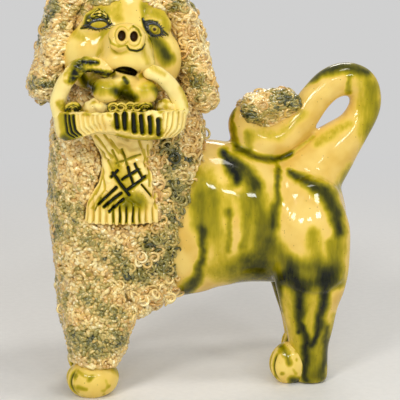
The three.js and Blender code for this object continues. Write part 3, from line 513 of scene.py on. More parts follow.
def build_body(material):
    """Barrel, haunches and tail: pressed together, smoothed over, and split at their joints."""
    torso = [
        [share * BODY_LONG, 0, BELLY + rise * BODY_TALL, wide * BODY_WIDE / 2, tall * BODY_TALL / 2]
        for share, wide, tall, rise in TORSO
    ]
    tail = [[x, 0, z, wide / 2, thick / 2] for x, z, wide, thick in TAIL]
    shapes = [
        limb(torso, ALONG_Y, caps=(3.8, 12.2), steps=60, sides=96)[:2],
        limb(tail, ALONG_Y, caps=(4.0, 4.8), steps=160, sides=48)[:2],
    ]
    for side in (LEFT, RIGHT):
        leg = []
        for up, shift, spread, long, deep in HIND_LEG:
            back = RIGHT_FOOT_BACK + (RIGHT_HIP_BACK - RIGHT_FOOT_BACK) * up / HIP if side == RIGHT else 0
            leg.append([HIND_LEG_X + shift + back, side * spread / 2, up, long / 2, deep / 2])
        points, faces, _, _ = limb(leg, ALONG_X, caps=(11.0, 10.4), steps=70, sides=64)
        points[:, 2] = np.maximum(points[:, 2], 0.0)
        shapes.append((points, faces))
    points, faces = melt(shapes, BODY_VOXEL)
    points = relax(points, edges_of(faces), rounds=22)
    normals = normals_of(points, faces)
    x = points[:, 0] - np.where(points[:, 1] > 0, RIGHT_HAUNCH_BACK, 0.0)
    above = points[:, 2] - np.interp(x, *np.transpose(HAUNCH_EDGE))
    thigh = band(x, 82, 88, 116, 121) * smoothstep(np.abs(points[:, 1]), 8, 16)
    swell = 0.9 * bell(above, 4, 4) - bell(above, -1.5, 2)
    crease = stroke(*seen(points), TAIL_CREASE, 0.9) * smoothstep(np.abs(normals[:, 1]), 0.3, 0.7)
    points = points + normals * (thigh * swell - 1.5 * crease)[:, None]
    points[:, 2] = np.maximum(points[:, 2], GROUND_GAP)
    normals = normals_of(points, faces)
    near = smoothstep(-normals[:, 1], -0.25, 0.2)
    green = glaze_at(points, BODY_RUNS, wander=3.0, soft=1.0) * near + far_runs(points) * (1 - near)
    owners = ["torso", "tail", "left_hind_leg", "right_hind_leg"]
    add_shells(points, faces, normals, owners, BODY_WALL, material, "honey_glaze", {"green": green})


def far_runs(points):
    """Runs of green glaze on the sides that the picture doesn't show: streaks down from the back."""
    stretched = points * np.array([1.0, 1.0, 0.22])
    streak = ripple(stretched, 9.0, 5) + 0.5 * ripple(stretched, 4.0, 6)
    patch = ripple(points, 30.0, 7)
    return np.clip(0.15 + 0.75 * streak + 0.45 * patch, 0, 0.9)


# Materials

def linear(red, green, blue):
    """A colour of the picture, 0 to 255, as the renderer takes it."""
    def one(value):
        value /= 255
        return value / 12.92 if value <= 0.04045 else ((value + 0.055) / 1.055) ** 2.4
    return (one(red), one(green), one(blue), 1.0)


NOISE_ROUGHNESS = 0.55
COAT_ROUGHNESS = 0.03


class Paint:
    """A procedural material under construction."""

    def __init__(self, name):
        self.material = bpy.data.materials.new(name)
        self.material.use_nodes = True
        self.tree = self.material.node_tree
        self.shader = self.tree.nodes["Principled BSDF"]
        place = self.add("TexCoord").outputs["Object"]
        self.millimetres = self.add("Mapping", Vector=place, Scale=[1 / MM] * 3).outputs["Vector"]

    def feed(self, socket, value):
        if isinstance(value, bpy.types.NodeSocket):
            self.tree.links.new(value, socket)
        else:
            socket.default_value = value

    def add(self, kind, **inputs):
        """A new node with its inputs fed."""
        node = self.tree.nodes.new("ShaderNode" + kind)
        for name, value in inputs.items():
            self.feed(node.inputs[name], value)
        return node

    def mark(self, key):
        node = self.add("Attribute")
        node.attribute_name = key
        return node.outputs["Fac"]

    def noise(self, size, detail, stretch=None):
        """Noise from 0 to 1 with grains of about that many millimetres."""
        vector = self.millimetres
        if stretch:
            vector = self.add("Mapping", Vector=vector, Scale=stretch).outputs["Vector"]
        node = self.add("TexNoise", Vector=vector, Scale=1 / size, Detail=detail, Roughness=NOISE_ROUGHNESS)
        return node.outputs["Fac"]

    def sway(self, size, detail, stretch=None):
        """Noise about 0."""
        return self.math("SUBTRACT", self.noise(size, detail, stretch), 0.5)

    def cells(self, size):
        """The distance from the middles of cells."""
        return self.add("TexVoronoi", Vector=self.millimetres, Scale=1 / size).outputs["Distance"]

    def math(self, operation, first, second=0.0, third=0.0):
        node = self.add("Math")
        node.operation = operation
        for socket, value in zip(node.inputs, (first, second, third)):
            self.feed(socket, value)
        return node.outputs[0]

    def span(self, value, low, high, to_low=0.0, to_high=1.0):
        """A value that goes softly from one level to another between two bounds."""
        node = self.add("MapRange", Value=value)
        node.interpolation_type = "SMOOTHSTEP"
        for name, number in zip(("From Min", "From Max", "To Min", "To Max"), (low, high, to_low, to_high)):
            node.inputs[name].default_value = number
        return node.outputs["Result"]

    def mix(self, share, first, second):
        """Two colours mixed."""
        node = self.add("Mix")
        node.data_type = "RGBA"
        for number, value in ((0, share), (6, first), (7, second)):
            self.feed(node.inputs[number], value)
        return node.outputs[2]

    def ramp(self, value, stops):
        """A colour that follows a value through stops, which hold colours of the picture."""
        node = self.add("ValToRGB", Fac=value)
        elements = node.color_ramp.elements
        while len(elements) < len(stops):
            elements.new(0.5)
        for element, (at, colour) in zip(elements, stops):
            element.position = at
            element.color = linear(*colour)
        return node.outputs["Color"]

    def bump(self, height, distance):
        node = self.add("Bump", Height=height, Strength=1.0, Distance=distance * MM)
        self.feed(self.shader.inputs["Normal"], node.outputs["Normal"])

    def finished(self, colour, roughness, coat=0.0, under=0.5):
        """The material, with its colour, its roughness, a clear coat and the shine under that coat."""
        self.feed(self.shader.inputs["Base Color"], colour)
        self.feed(self.shader.inputs["Roughness"], roughness)
        self.shader.inputs["Specular IOR Level"].default_value = under
        self.shader.inputs["Coat Weight"].default_value = coat
        self.shader.inputs["Coat Roughness"].default_value = COAT_ROUGHNESS
        return self.material


GREEN_STOPS = [
    (0.0, (236, 204, 104)), (0.15, (222, 192, 78)), (0.3, (192, 168, 40)), (0.45, (158, 144, 12)),
    (0.6, (122, 114, 2)), (0.8, (66, 66, 0)), (0.97, (14, 18, 4)),
]
CLAY_STOPS = [
    (0.05, (206, 160, 86)), (0.3, (232, 190, 106)), (0.55, (244, 214, 138)),
    (0.8, (249, 229, 160)), (1.0, (254, 242, 192)),
]
COAT_GREEN_STOPS = [(0.3, (192, 168, 84)), (0.6, (138, 130, 60)), (0.95, (52, 58, 24))]
STREAKED, SMEARED = (1.0, 1.0, 0.16), (1.0, 1.0, 0.3)  # stretches of noise that runs downwards


def glazed(name, light, warm, specks=True):
    """Clear glaze over cream clay, with the green glaze of the mark that runs in it, and dark holes:
    painted shade inside the mouth and nostrils, and the dark of the pupils.
    """
    paint = Paint(name)
    mark = paint.mark("green")
    shift = paint.math("MULTIPLY", paint.sway(5.5, 4.0, STREAKED), 0.34)
    shift = paint.math("MULTIPLY", shift, paint.span(mark, 0.0, 0.3, 0.35, 1.0))
    fine = paint.math("MULTIPLY", paint.sway(2.0, 2.0, SMEARED), 0.22)
    shift = paint.math("MULTIPLY_ADD", fine, paint.span(mark, 0.03, 0.3), shift)
    green = paint.math("ADD", mark, shift)
    ground = paint.mix(paint.span(paint.noise(14.0, 2.0), 0.35, 0.68), linear(*light), linear(*warm))
    pale = paint.span(paint.noise(22.0, 2.0), 0.48, 0.62, 0.0, 0.55)
    ground = paint.mix(pale, ground, linear(light[0] + 8, light[1] + 12, light[2] + 12))
    colour = paint.mix(paint.span(green, 0.0, 0.25), ground, paint.ramp(green, GREEN_STOPS))
    if specks:
        dots = paint.span(paint.cells(2.6), 0.06, 0.14, 1.0, 0.0)
        few = paint.span(paint.noise(6.0, 1.0), 0.48, 0.58, 0.0, 0.7)
        colour = paint.mix(paint.math("MULTIPLY", dots, few), colour, linear(92, 58, 22))
    # The hole mark paints the inside of the mouth and the nostrils dark, as painted shade, and gives the
    # pupils their dark colour.
    colour = paint.mix(paint.mark("hole"), colour, linear(58, 38, 16))
    paint.bump(paint.math("MULTIPLY_ADD", paint.noise(3.0, 1.0), 0.1, paint.noise(11.0, 1.0)), 0.45)
    return paint.finished(colour, paint.span(paint.noise(3.0, 2.0), 0.3, 0.7, 0.1, 0.2), 0.42, 0.06)


def sieved(name):
    """Matted strands of clay under a thin satin glaze."""
    paint = Paint(name)
    grain = paint.noise(1.2, 3.0)
    shade = paint.math("SUBTRACT", grain, 0.5)
    drift = paint.math("MULTIPLY_ADD", paint.sway(7.0, 2.0), 0.9, paint.mark("tint"))
    clay = paint.ramp(paint.math("MULTIPLY_ADD", shade, 0.5, drift), CLAY_STOPS)
    rosy = paint.span(paint.noise(6.0, 2.0), 0.5, 0.66, 0.0, 0.5)
    clay = paint.mix(rosy, clay, linear(214, 183, 122))
    # Low places on the strands, and the ground between them, turn darker and browner: painted shade, partly
    # standing for glaze pooled there.
    low = paint.mix(paint.span(paint.mark("depth"), 0.0, 0.6, 0.55, 0.0), clay, linear(168, 130, 70))
    green = paint.math("MULTIPLY_ADD", shade, 0.6, paint.mark("green"))
    colour = paint.mix(paint.span(green, 0.12, 0.45), low, paint.ramp(green, COAT_GREEN_STOPS))
    paint.bump(grain, 0.12)
    return paint.finished(colour, paint.span(grain, 0.3, 0.7, 0.14, 0.26), coat=0.9)


def plain_clay(name):
    paint = Paint(name)
    grain = paint.noise(1.5, 4.0)
    colour = paint.mix(paint.span(grain, 0.3, 0.7), linear(186, 150, 96), linear(214, 178, 120))
    paint.bump(grain, 0.2)
    return paint.finished(colour, paint.span(grain, 0.3, 0.7, 0.5, 0.75))


def dark_line(name):
    """Green-black glaze that has pooled in incised lines."""
    paint = Paint(name)
    cloud = paint.noise(2.5, 3.0)
    colour = paint.mix(paint.span(cloud, 0.35, 0.7), linear(18, 22, 18), linear(52, 58, 38))
    paint.bump(cloud, 0.1)
    return paint.finished(colour, paint.span(cloud, 0.3, 0.7, 0.06, 0.16), coat=0.6)


# Coats of sieved clay

PELLET_STEPS = 6
RINGLET_STEPS = 14
STRAND_SIDES = 5
RINGLET_SPACING = 3.9
STRAND_SINK, RINGLET_SINK = 0.8, 0.35  # how deep strands and ringlets are pressed into the skin
# Ringlets count as higher, so they get less of the painted shade of low places.
RINGLET_RISE = 0.5  # how much higher than strands ringlets count
TRIES = 9  # random places for each one that is kept
CLEAR, COVER = 0.05, 1.5  # between these distances, another piece covers the skin
GROUND_VOXEL = 1.4
UP = np.array([0.0, 0.0, 1.0])
# Kinds of strands: bounds of half their thickness, their bend, sweep, tilt and lift, and then how far
# they stray from level, in millimetres and degrees
PELLETS = ((0.75, 1.25), (1.6, 3.4), (30, 85), (0, 14), (0.1, 0.6), 75.0)
RINGLETS = ((0.6, 0.9), (1.5, 3.0), (190, 410), (4, 30), (0.2, 0.6), 180.0)
WAVES = ((0.7, 1.1), (2.6, 5.0), (45, 105), (0, 20), (0.2, 0.9), 35.0)
everything, _ = tree_of([solid_of(node) for node in nodes])


def even(points, spacing):
    """The numbers of points that lie about one spacing apart."""
    cell = np.floor(points / spacing).astype(int)
    _, keep = np.unique(cell, axis=0, return_index=True)
    return np.sort(keep)


def shape_samples(points, faces, spacing, seed):
    """Even places on a shape: points and outward normals."""
    rng = np.random.default_rng(seed)
    a, b, c = points[faces[:, 0]], points[faces[:, 1]], points[faces[:, 2]]
    flat = np.cross(b - a, c - a)
    area = np.linalg.norm(flat, axis=1)
    count = int(area.sum() / 2 / spacing**2 * TRIES)
    pick = rng.choice(len(faces), count, p=area / area.sum())
    u, v = rng.random(count), rng.random(count)
    over = u + v > 1
    u[over], v[over] = 1 - u[over], 1 - v[over]
    found = a[pick] + u[:, None] * (b - a)[pick] + v[:, None] * (c - a)[pick]
    keep = even(found, spacing)
    return found[keep], unit(flat)[pick][keep]


def skin_samples(node, spacing, seed):
    """Even places on the outside of a coat. Places that another piece covers are left out."""
    found, normal = shape_samples(*solid_of(node), spacing, seed)
    free = [
        everything.ray_cast(p + n * CLEAR, n, COVER)[0] is None
        for p, n in zip(map(Vector, found.tolist()), map(Vector, normal.tolist()))
    ]
    return found[free], normal[free]


def drawn(kind, count, rng):
    """Random strands of a kind."""
    *bounds, stray = kind
    return [rng.uniform(low, high, count) for low, high in bounds] + [stray]


def curls(points, normals, strands, seed, steps):
    """Tubes of clay that lie on the skin, one at each place.
    Gives points, faces, the number of each point's tube, and the height of each point above the skin."""
    rng = np.random.default_rng(seed)
    count = len(points)
    thick, radius, sweep, tilt, lift, stray = strands
    level = unit(np.cross(normals, UP) + 1e-3)
    turn = np.radians(stray) * rng.uniform(-1, 1, count)
    along = level * np.cos(turn)[:, None] + np.cross(normals, level) * np.sin(turn)[:, None]
    sideways = np.cross(normals, along) * rng.choice([-1.0, 1.0], count)[:, None]
    share = np.linspace(0, 1, steps)
    angle = np.radians(sweep)[:, None] * (share - 0.5)
    shrink = radius[:, None] * (1 - 0.25 * share * rng.random(count)[:, None])
    lean = np.radians(tilt)[:, None]
    x = shrink * np.sin(angle)
    y = shrink * np.cos(angle)
    y -= y.mean(axis=1, keepdims=True)
    h = y * np.sin(lean)
    h -= h.min(axis=1, keepdims=True)
    h += lift[:, None] * np.sin(math.pi * share) - 0.5 * np.abs(2 * share - 1) ** 3
    y *= np.cos(lean)
    path = (
        points[:, None] + x[..., None] * along[:, None] + y[..., None] * sideways[:, None]
        + h[..., None] * normals[:, None]
    )
    tangent = unit(np.gradient(path, axis=1))
    side = unit(np.cross(tangent, normals[:, None] + 0.3 * along[:, None]))
    deep = np.cross(side, tangent)
    taper = 0.6 + 0.4 * np.sin(math.pi * np.clip(share, 0.12, 0.88)) ** 0.5
    corner = (np.arange(STRAND_SIDES) + 0.5) * 2 * math.pi / STRAND_SIDES
    thickness = (thick[:, None] * taper)[:, :, None, None]
    skin = path[:, :, None] + thickness * (
        np.cos(corner)[:, None] * side[:, :, None] + np.sin(corner)[:, None] * deep[:, :, None]
    )
    index = np.arange(count * steps * STRAND_SIDES).reshape(count, steps, STRAND_SIDES)
    ahead = np.roll(index, -1, axis=2)
    quads = np.stack([index[:, :-1], ahead[:, :-1], ahead[:, 1:], index[:, 1:]], axis=3).reshape(-1, 4)
    ends = np.concatenate([index[:, 0, ::-1], index[:, -1]])
    tubes = np.repeat(np.arange(count), steps * STRAND_SIDES)
    return skin.reshape(-1, 3), [quads, ends], tubes, np.repeat(h.reshape(-1), STRAND_SIDES)


def coat_green(points, normals, strokes, seed):
    """Green glaze on a coat: the strokes and flecks on the near side, and patches of noise elsewhere."""
    near = smoothstep(-normals[:, 1], -0.2, 0.3)
    patch = np.clip(ripple(points, 11.0, seed) + 0.5 * ripple(points, 4.5, seed + 1), 0, 1)
    fleck = np.clip(1.6 * ripple(points, 9.0, seed + 2) + 0.2, 0, 1)
    fleck = fleck * np.clip(0.4 + 1.3 * ripple(points, 3.2, seed + 4), 0, 1)
    run = glaze_at(points, strokes, wander=6.0, soft=1.0, seed=seed)
    run = run * (0.85 + 0.5 * ripple(points, 3.0, seed + 3))
    return 0.75 * patch * (1 - near) + (run + 0.5 * fleck) * near


def coat_ground(node, filler, strokes, rings, seed):
    """The matted ground under a coat's strands: points, faces and marks."""
    solid, corners = solid_of(node)
    points, faces = melt([(solid, [corners])] + ([filler] if filler else []), GROUND_VOXEL)
    points = relax(points, edges_of(faces), rounds=3)
    out = normals_of(points, faces)
    rough = ripple(points, 1.5, seed)
    points = points - out * (STRAND_SINK + 0.1 - 0.5 * rough[:, None])
    marks = {
        "tint": 0.45 + 0.25 * rough,
        "green": coat_green(points, out, strokes, seed) + 0.45 * np.clip(rings(points), 0, 1),
        # the ground counts as low, so it gets the painted shade of low places
        "depth": np.full(len(points), 0.1),
    }
    return points, faces, marks


def add_coat(
    node, material, kind, strokes, rings, spacing, seed, parts=1, extra=None, press=None, filler=None,
):
    """A coat: its matted ground, the strands that lie on it, and ringlets at the share that rings gives.
    It may have extra places for strands, a filler beside its ground, and a press that reshapes it."""
    points, normals = skin_samples(node, spacing, seed)
    points = points - normals * STRAND_SINK
    if filler:
        extra = shape_samples(filler[0], triangles(filler[1]), spacing, seed)
    if extra:
        points = np.vstack([points, extra[0]])
        normals = np.vstack([normals, extra[1]])
    rng = np.random.default_rng(seed + 100)
    under = curls(points, normals, drawn(kind, len(points), rng), seed + 200, PELLET_STEPS)
    tops, out = skin_samples(node, RINGLET_SPACING, seed + 5)
    wanted = rng.random(len(tops)) < rings(tops)
    tops, out = tops[wanted] - RINGLET_SINK * out[wanted], out[wanted]
    over = curls(tops, out, drawn(RINGLETS, len(tops), rng), seed + 300, RINGLET_STEPS)
    skin, faces = join([under[:2], over[:2]])
    tubes = np.concatenate([under[2], over[2] + len(points)])
    height = np.concatenate([under[3], over[3] + RINGLET_RISE])
    points, normals = np.vstack([points, tops]), np.vstack([normals, out])

    ringed = np.arange(len(points)) >= len(points) - len(tops)
    tint = np.clip(0.5 - 0.12 * ringed + 0.26 * rng.normal(size=len(points)), 0, 1)
    green = coat_green(points, normals, strokes, seed) * rng.uniform(0.45, 1.2, len(points)) + 0.04 * ringed
    # depth, the height above the skin, drives the painted shade of low places
    marks = {"tint": tint[tubes], "green": green[tubes], "depth": np.clip((height + 0.4) / 1.6, 0, 1)}
    ground, shell, below = coat_ground(node, filler, strokes, rings, seed)
    if press:
        skin, ground = press(skin), press(ground)
    rank = np.argsort(np.argsort(points[:, 2], kind="stable"), kind="stable")
    for part in range(parts):
        mine = (rank * parts // len(points) == part)[tubes]
        number = np.cumsum(mine) - 1
        own = [number[f[mine[f[:, 0]]]] for f in faces]
        shape = skin[mine], [f for f in own if len(f)]
        own_marks = {key: values[mine] for key, values in marks.items()}
        if part == 0:
            shape = join([shape, (ground, shell)])
            own_marks = {key: np.concatenate([values, below[key]]) for key, values in own_marks.items()}
        name = node + "_curls" + (f"_{part + 1}" if parts > 1 else "")
        add_piece(name, *shape, material, "coat_glaze", (node,), own_marks)


def mane_rings(points):
    """The share of ringlets in the mane: many along its rear edge and low down, a few elsewhere."""
    px, py = seen(points)
    rear = smoothstep(px, 138, 160) * smoothstep(py, 116, 130)
    low = smoothstep(px, 112, 132) * band(py, 230, 244, 284, 296)
    return 0.04 + 0.75 * np.maximum(rear, 0.9 * low)


def ear_rings(points):
    """The share of ringlets on the ears and crown: few on the left, many on the right."""
    px, _ = seen(points)
    return 0.06 + 0.5 * smoothstep(px, 130, 190)


def tuft_rings(points):
    """The share of ringlets on the tail's tuft."""
    return np.full(len(points), 0.5)


MANE_RUNS = [
    (0.4, (172, 140, 10), (176, 200, 12), (170, 270, 12)),
    (0.7, (158, 146, 5), (170, 150, 6), (184, 160, 5)),
    (0.7, (173, 155, 3), (174, 166, 3)),
    (0.7, (186, 158, 3), (190, 162, 3)),
    (0.6, (166, 168, 6), (180, 184, 8), (184, 200, 7)),
    (0.6, (172, 214, 7), (182, 226, 8)),
    (0.6, (146, 238, 10), (172, 246, 12), (168, 262, 10)),
    (0.75, (122, 272, 9), (140, 276, 11), (156, 270, 9)),
    (0.5, (90, 298, 9), (104, 306, 10), (122, 314, 8)),
    (0.65, (72, 342, 10), (92, 348, 12), (118, 340, 10)),
    (0.35, (112, 318, 9), (118, 334, 9)),
    (0.55, (54, 226, 6), (72, 236, 8)),
    (0.6, (53, 274, 4), (60, 276, 5)),
    (0.7, (51, 136, 6), (49, 190, 7)),
    (0.55, (62, 196, 9), (78, 216, 9)),
    (0.45, (96, 240, 10), (120, 256, 10)),
    (0.5, (52, 150, 7), (54, 250, 7), (62, 320, 7)),
    (0.25, (84, 262, 16), (92, 330, 16)),
]
EAR_RUNS = [
    (0.85, (58, 0, 5), (47, 20, 4), (40, 42, 4)),
    (0.8, (31, 78, 4), (36, 86, 4)),
    (0.8, (44, 84, 5), (52, 84, 4)),
    (0.85, (26, 96, 5), (38, 102, 6), (50, 103, 5)),
    (0.75, (72, 8, 5), (84, 10, 5)),
    (0.75, (90, 0, 5), (112, 2, 4)),
    (0.7, (172, 2, 6), (200, 6, 6)),
    (0.7, (204, 10, 4), (212, 44, 4)),
    (0.85, (196, 72, 4), (197, 82, 4)),
    (0.55, (188, 60, 6), (206, 96, 6)),
]
TUFT_TOP, TUFT_SQUASH = 162.0, 0.88
TUFT_RUNS = [
    (0.99, (242, 106, 8), (248, 116, 9), (257, 124, 7)),
    (0.99, (276, 98, 8), (290, 100, 11), (300, 110, 9)),
    (0.7, (270, 112, 4), (288, 114, 5)),
    (0.4, (256, 110, 5), (272, 122, 4)),
]


def tuft_press(points):
    """The tail's tuft, lower, and narrower where it sits in the curl of the tail."""
    tip = 6 * smoothstep(-points[:, 0], -84, -76)
    pressed = points.copy()
    pressed[:, 1] *= 0.3 + 0.65 * smoothstep(points[:, 2] + tip, 141, 153)
    pressed[:, 2] = TUFT_TOP - (TUFT_TOP - points[:, 2]) * TUFT_SQUASH
    return pressed


def build_coats(material, hairline):
    add_coat("mane_coat", material, PELLETS, MANE_RUNS, mane_rings, spacing=1.75, seed=11, parts=5)
    for side in (LEFT, RIGHT):
        name = SIDE_NAMES[side]
        web = egg((7.0, side * 13.0, 50.5), (22, 20, 20))
        add_coat(
            name + "_foreleg_coat", material, PELLETS, MANE_RUNS, mane_rings,
            spacing=1.75, seed=21 + side, filler=web,
        )
        add_coat(name + "_ear_coat", material, WAVES, EAR_RUNS, ear_rings, spacing=1.8, seed=31 + side)
    add_coat("topknot", material, WAVES, EAR_RUNS, ear_rings, spacing=1.8, seed=41, extra=hairline)
    add_coat("tail_tuft", material, WAVES, TUFT_RUNS, tuft_rings, spacing=1.7, seed=51, press=tuft_press)


# Head

HEAD_PLACE = np.array([-1.02, -22.0, 191.0])
HEAD_TILT = math.radians(4)


def from_head(points):
    """Points of the head's own frame, in the dog's frame."""
    x, y, z = np.moveaxis(np.asarray(points, float), -1, 0)
    x, z = turned(x, z, -HEAD_TILT)
    return np.stack([x, y, z], axis=-1) + HEAD_PLACE


def to_head(points):
    x, y, z = np.moveaxis(np.asarray(points, float) - HEAD_PLACE, -1, 0)
    x, z = turned(x, z, HEAD_TILT)
    return np.stack([x, y, z], axis=-1)


FACE_WASHES = [
    (0.3, (158, 42, 7), (166, 62, 6)),
    (0.3, (116, 2, 6), (118, 18, 6)),
    (0.3, (143, 4, 5), (144, 17, 4)),
    (0.4, (94, 12, 6), (106, 10, 5)),
    (0.35, (147, 8, 6), (160, 14, 6), (168, 26, 5)),
    (0.62, (153, 39, 4), (162, 48, 6), (168, 58, 6)),
    (0.4, (167, 50, 3), (168, 56, 3)),
    (0.25, (74, 32, 6), (82, 38, 5)),
    (0.22, (143, 46, 3), (147, 62, 3)),
    (0.2, (101, 38, 3), (101, 54, 3)),
    (0.9, (82, 74, 4), (87, 84, 5), (93, 90, 4)),
    (0.35, (94, 80, 5), (102, 90, 6)),
    (0.3, (150, 84, 6), (144, 92, 7)),
    (0.3, (110, 88, 8), (120, 92, 6)),
    (0.85, (116, 92, 4), (124, 96, 5), (133, 98, 4)),
    (0.5, (125, 84, 4), (127, 92, 5)),
    (0.75, (156, 90, 4), (160, 97, 4)),
]
EYE_LINES = [
    (0.75, (86, 25, 2.5), (89, 17.5, 3.6), (98, 14, 4), (106, 16, 3.2), (110, 22, 1.6)),
    (0.95, (81, 28, 1), (90, 26, 2)),
    (0.9, (90, 27, 1.2), (96, 29, 1.4), (102, 28, 1.3), (108, 24, 1)),
    (0.95, (143, 19, 1.6), (145, 26, 1.8), (148, 32, 1.7), (153, 36, 1.5)),
    (0.95, (144, 22, 1.3), (150, 21, 1.4), (156, 22, 1.4), (160, 28, 1.5), (168, 35, 0.8)),
    (0.9, (153, 36, 1.4), (158, 35, 1.3), (162, 33, 1.2)),
]
NOSE_LINES = [
    (0.6, (133, 26, 1), (138, 30, 1.3), (141, 36, 1)),
    (0.95, (127, 46, 0.8), (130, 50, 1.1), (137, 51, 1.2), (142, 49, 1.1), (145, 44, 0.7)),
    (0.4, (108, 37, 1), (111, 43, 1.2), (118, 47, 1.2), (125, 46, 0.8)),
]
MOUTH_LINES = [
    (0.97, (94, 71, 2), (102, 71, 1.6), (110, 72.5, 1.8), (114, 71, 1.4)),
    (0.85, (124, 78, 2), (127, 83, 2.6)),
]
HAIRLINE = [  # outlines in the picture of the hair that hangs over the face
    [
        (56, -30), (119, -30), (117, -1), (106, 3), (92, 5),
        (85, 13), (80, 22), (73, 30), (66, 33), (56, 33),
    ],
    [
        (139, -30), (144, -1), (152, 5), (162, 8), (169, 14),
        (176, 24), (183, 36), (186, 45), (204, 45), (204, -30),
    ],
]
HAIR_SPACING = 1.5


def within(px, py, outline):
    """Which pixels lie inside an outline."""
    inside = np.zeros(len(px), bool)
    for (x0, y0), (x1, y1) in zip(outline, outline[1:] + outline[:1]):
        crosses = (y0 > py) != (y1 > py)
        inside ^= crosses & (px < x0 + (py - y0) * (x1 - x0) / (y1 - y0 if y1 != y0 else 1e-9))
    return inside


NOSE_X, NOSE_Z = -2.4, 3.0
NOSE_FRONT, BEHIND_NOSE = -36.5, -33.0  # y of the head's frame
NOSTRIL_APART, NOSTRIL_Z = 3.0, 3.5
RIM_POINTS = 40
MOUTH_X, MOUTH_Y, MOUTH_Z = -1.0, -36, -15.0
MOUTH_SIZE, MOUTH_TURN = (12.0, 34, 6.8), math.radians(10)
MOUTH_FLOOR = 0.12  # how deep the mouth's lower half is, as a share of its upper one
HEAD_LUMPS = [  # middle, size and segments in the head's frame
    ((0, 0, 0), (51, 56, 62), 96),  # skull
    ((0, -10.5, -8.0), (57, 36, 44), 96),  # face
    ((-10, -14.5, 0.5), (30, 20, 30), 80),  # cheekbones
    ((10, -14.5, 0.5), (30, 20, 30), 80),
    ((0, -24.08, -4.96), (27, 31, 27), 64),  # muzzle
    ((-0.5, -29.5, -9.2), (29, 20, 12), 64),  # upper lip
    ((NOSE_X, -37.1, NOSE_Z), (19.2, 9.6, 14.2), 64),  # nose
    ((0, -21.1, -22), (35, 28, 19), 64),  # lower jaw
    ((-1.0, -30.5, -19.0), (15, 13, 8), 64),  # middle of the lower lip
]
PAIRED_LUMPS = [  # x of the middle between the two, their distance from it, y, z and size
    (0, 16, -12.9, -9.0, (29, 24, 34)),  # cheeks
    (0, 14.5, -21.4, 9.0, (17, 8.06, 13)),  # lids
    (-0.5, 9.0, -30.2, -24.2, (16, 15, 13)),  # halves of the lower lip
    (NOSE_X, 4.3, -39.6, NOSE_Z - 3.9, (9.4, 6, 7)),  # wings of the nose
]
RIGHT_BROW = [(10.2, -24.4, 12.6), (12.3, -21.4, 16.0), (16.2, -20.0, 16.6), (19.0, -21.6, 12.6)]
HEAD_VOXEL, HEAD_CUT_VOXEL, HEAD_WALL = 0.6, 0.57, 1.2


def head_lump(middle, size, segments=64):
    points, faces = egg(middle, size, segments)
    return from_head(points), faces


def head_shapes():
    """The lumps of clay of the head, and the cutters for its mouth and nostrils."""
    shapes = [head_lump(*lump) for lump in HEAD_LUMPS]
    shapes.append(tube(from_head(spline(RIGHT_BROW, np.linspace(0, 1, 24))), 2.1))
    turns = np.linspace(0, 2 * math.pi, RIM_POINTS)
    cutters = []
    for side in (LEFT, RIGHT):
        for middle, apart, y, z, size in PAIRED_LUMPS:
            shapes.append(head_lump((middle + side * apart, y, z), size))
        x = NOSE_X + side * NOSTRIL_APART
        rim = [x + 2.6 * np.cos(turns), np.full(RIM_POINTS, -41.0), NOSTRIL_Z + 3.2 * np.sin(turns)]
        shapes.append(tube(from_head(np.transpose(rim)), 0.85))
        cutters.append(head_lump((x, -42.2, NOSTRIL_Z), (4.4, 8.4, 5.8), segments=32))
    arch, faces = egg((0, MOUTH_Y, 0), MOUTH_SIZE, segments=64)
    arch[:, 2] *= np.where(arch[:, 2] < 0, MOUTH_FLOOR, 1)
    x, z = turned(arch[:, 0], arch[:, 2], -MOUTH_TURN)
    cutters.append((from_head(np.stack([MOUTH_X + x, arch[:, 1], MOUTH_Z + z], axis=1)), faces))
    return shapes, cutters


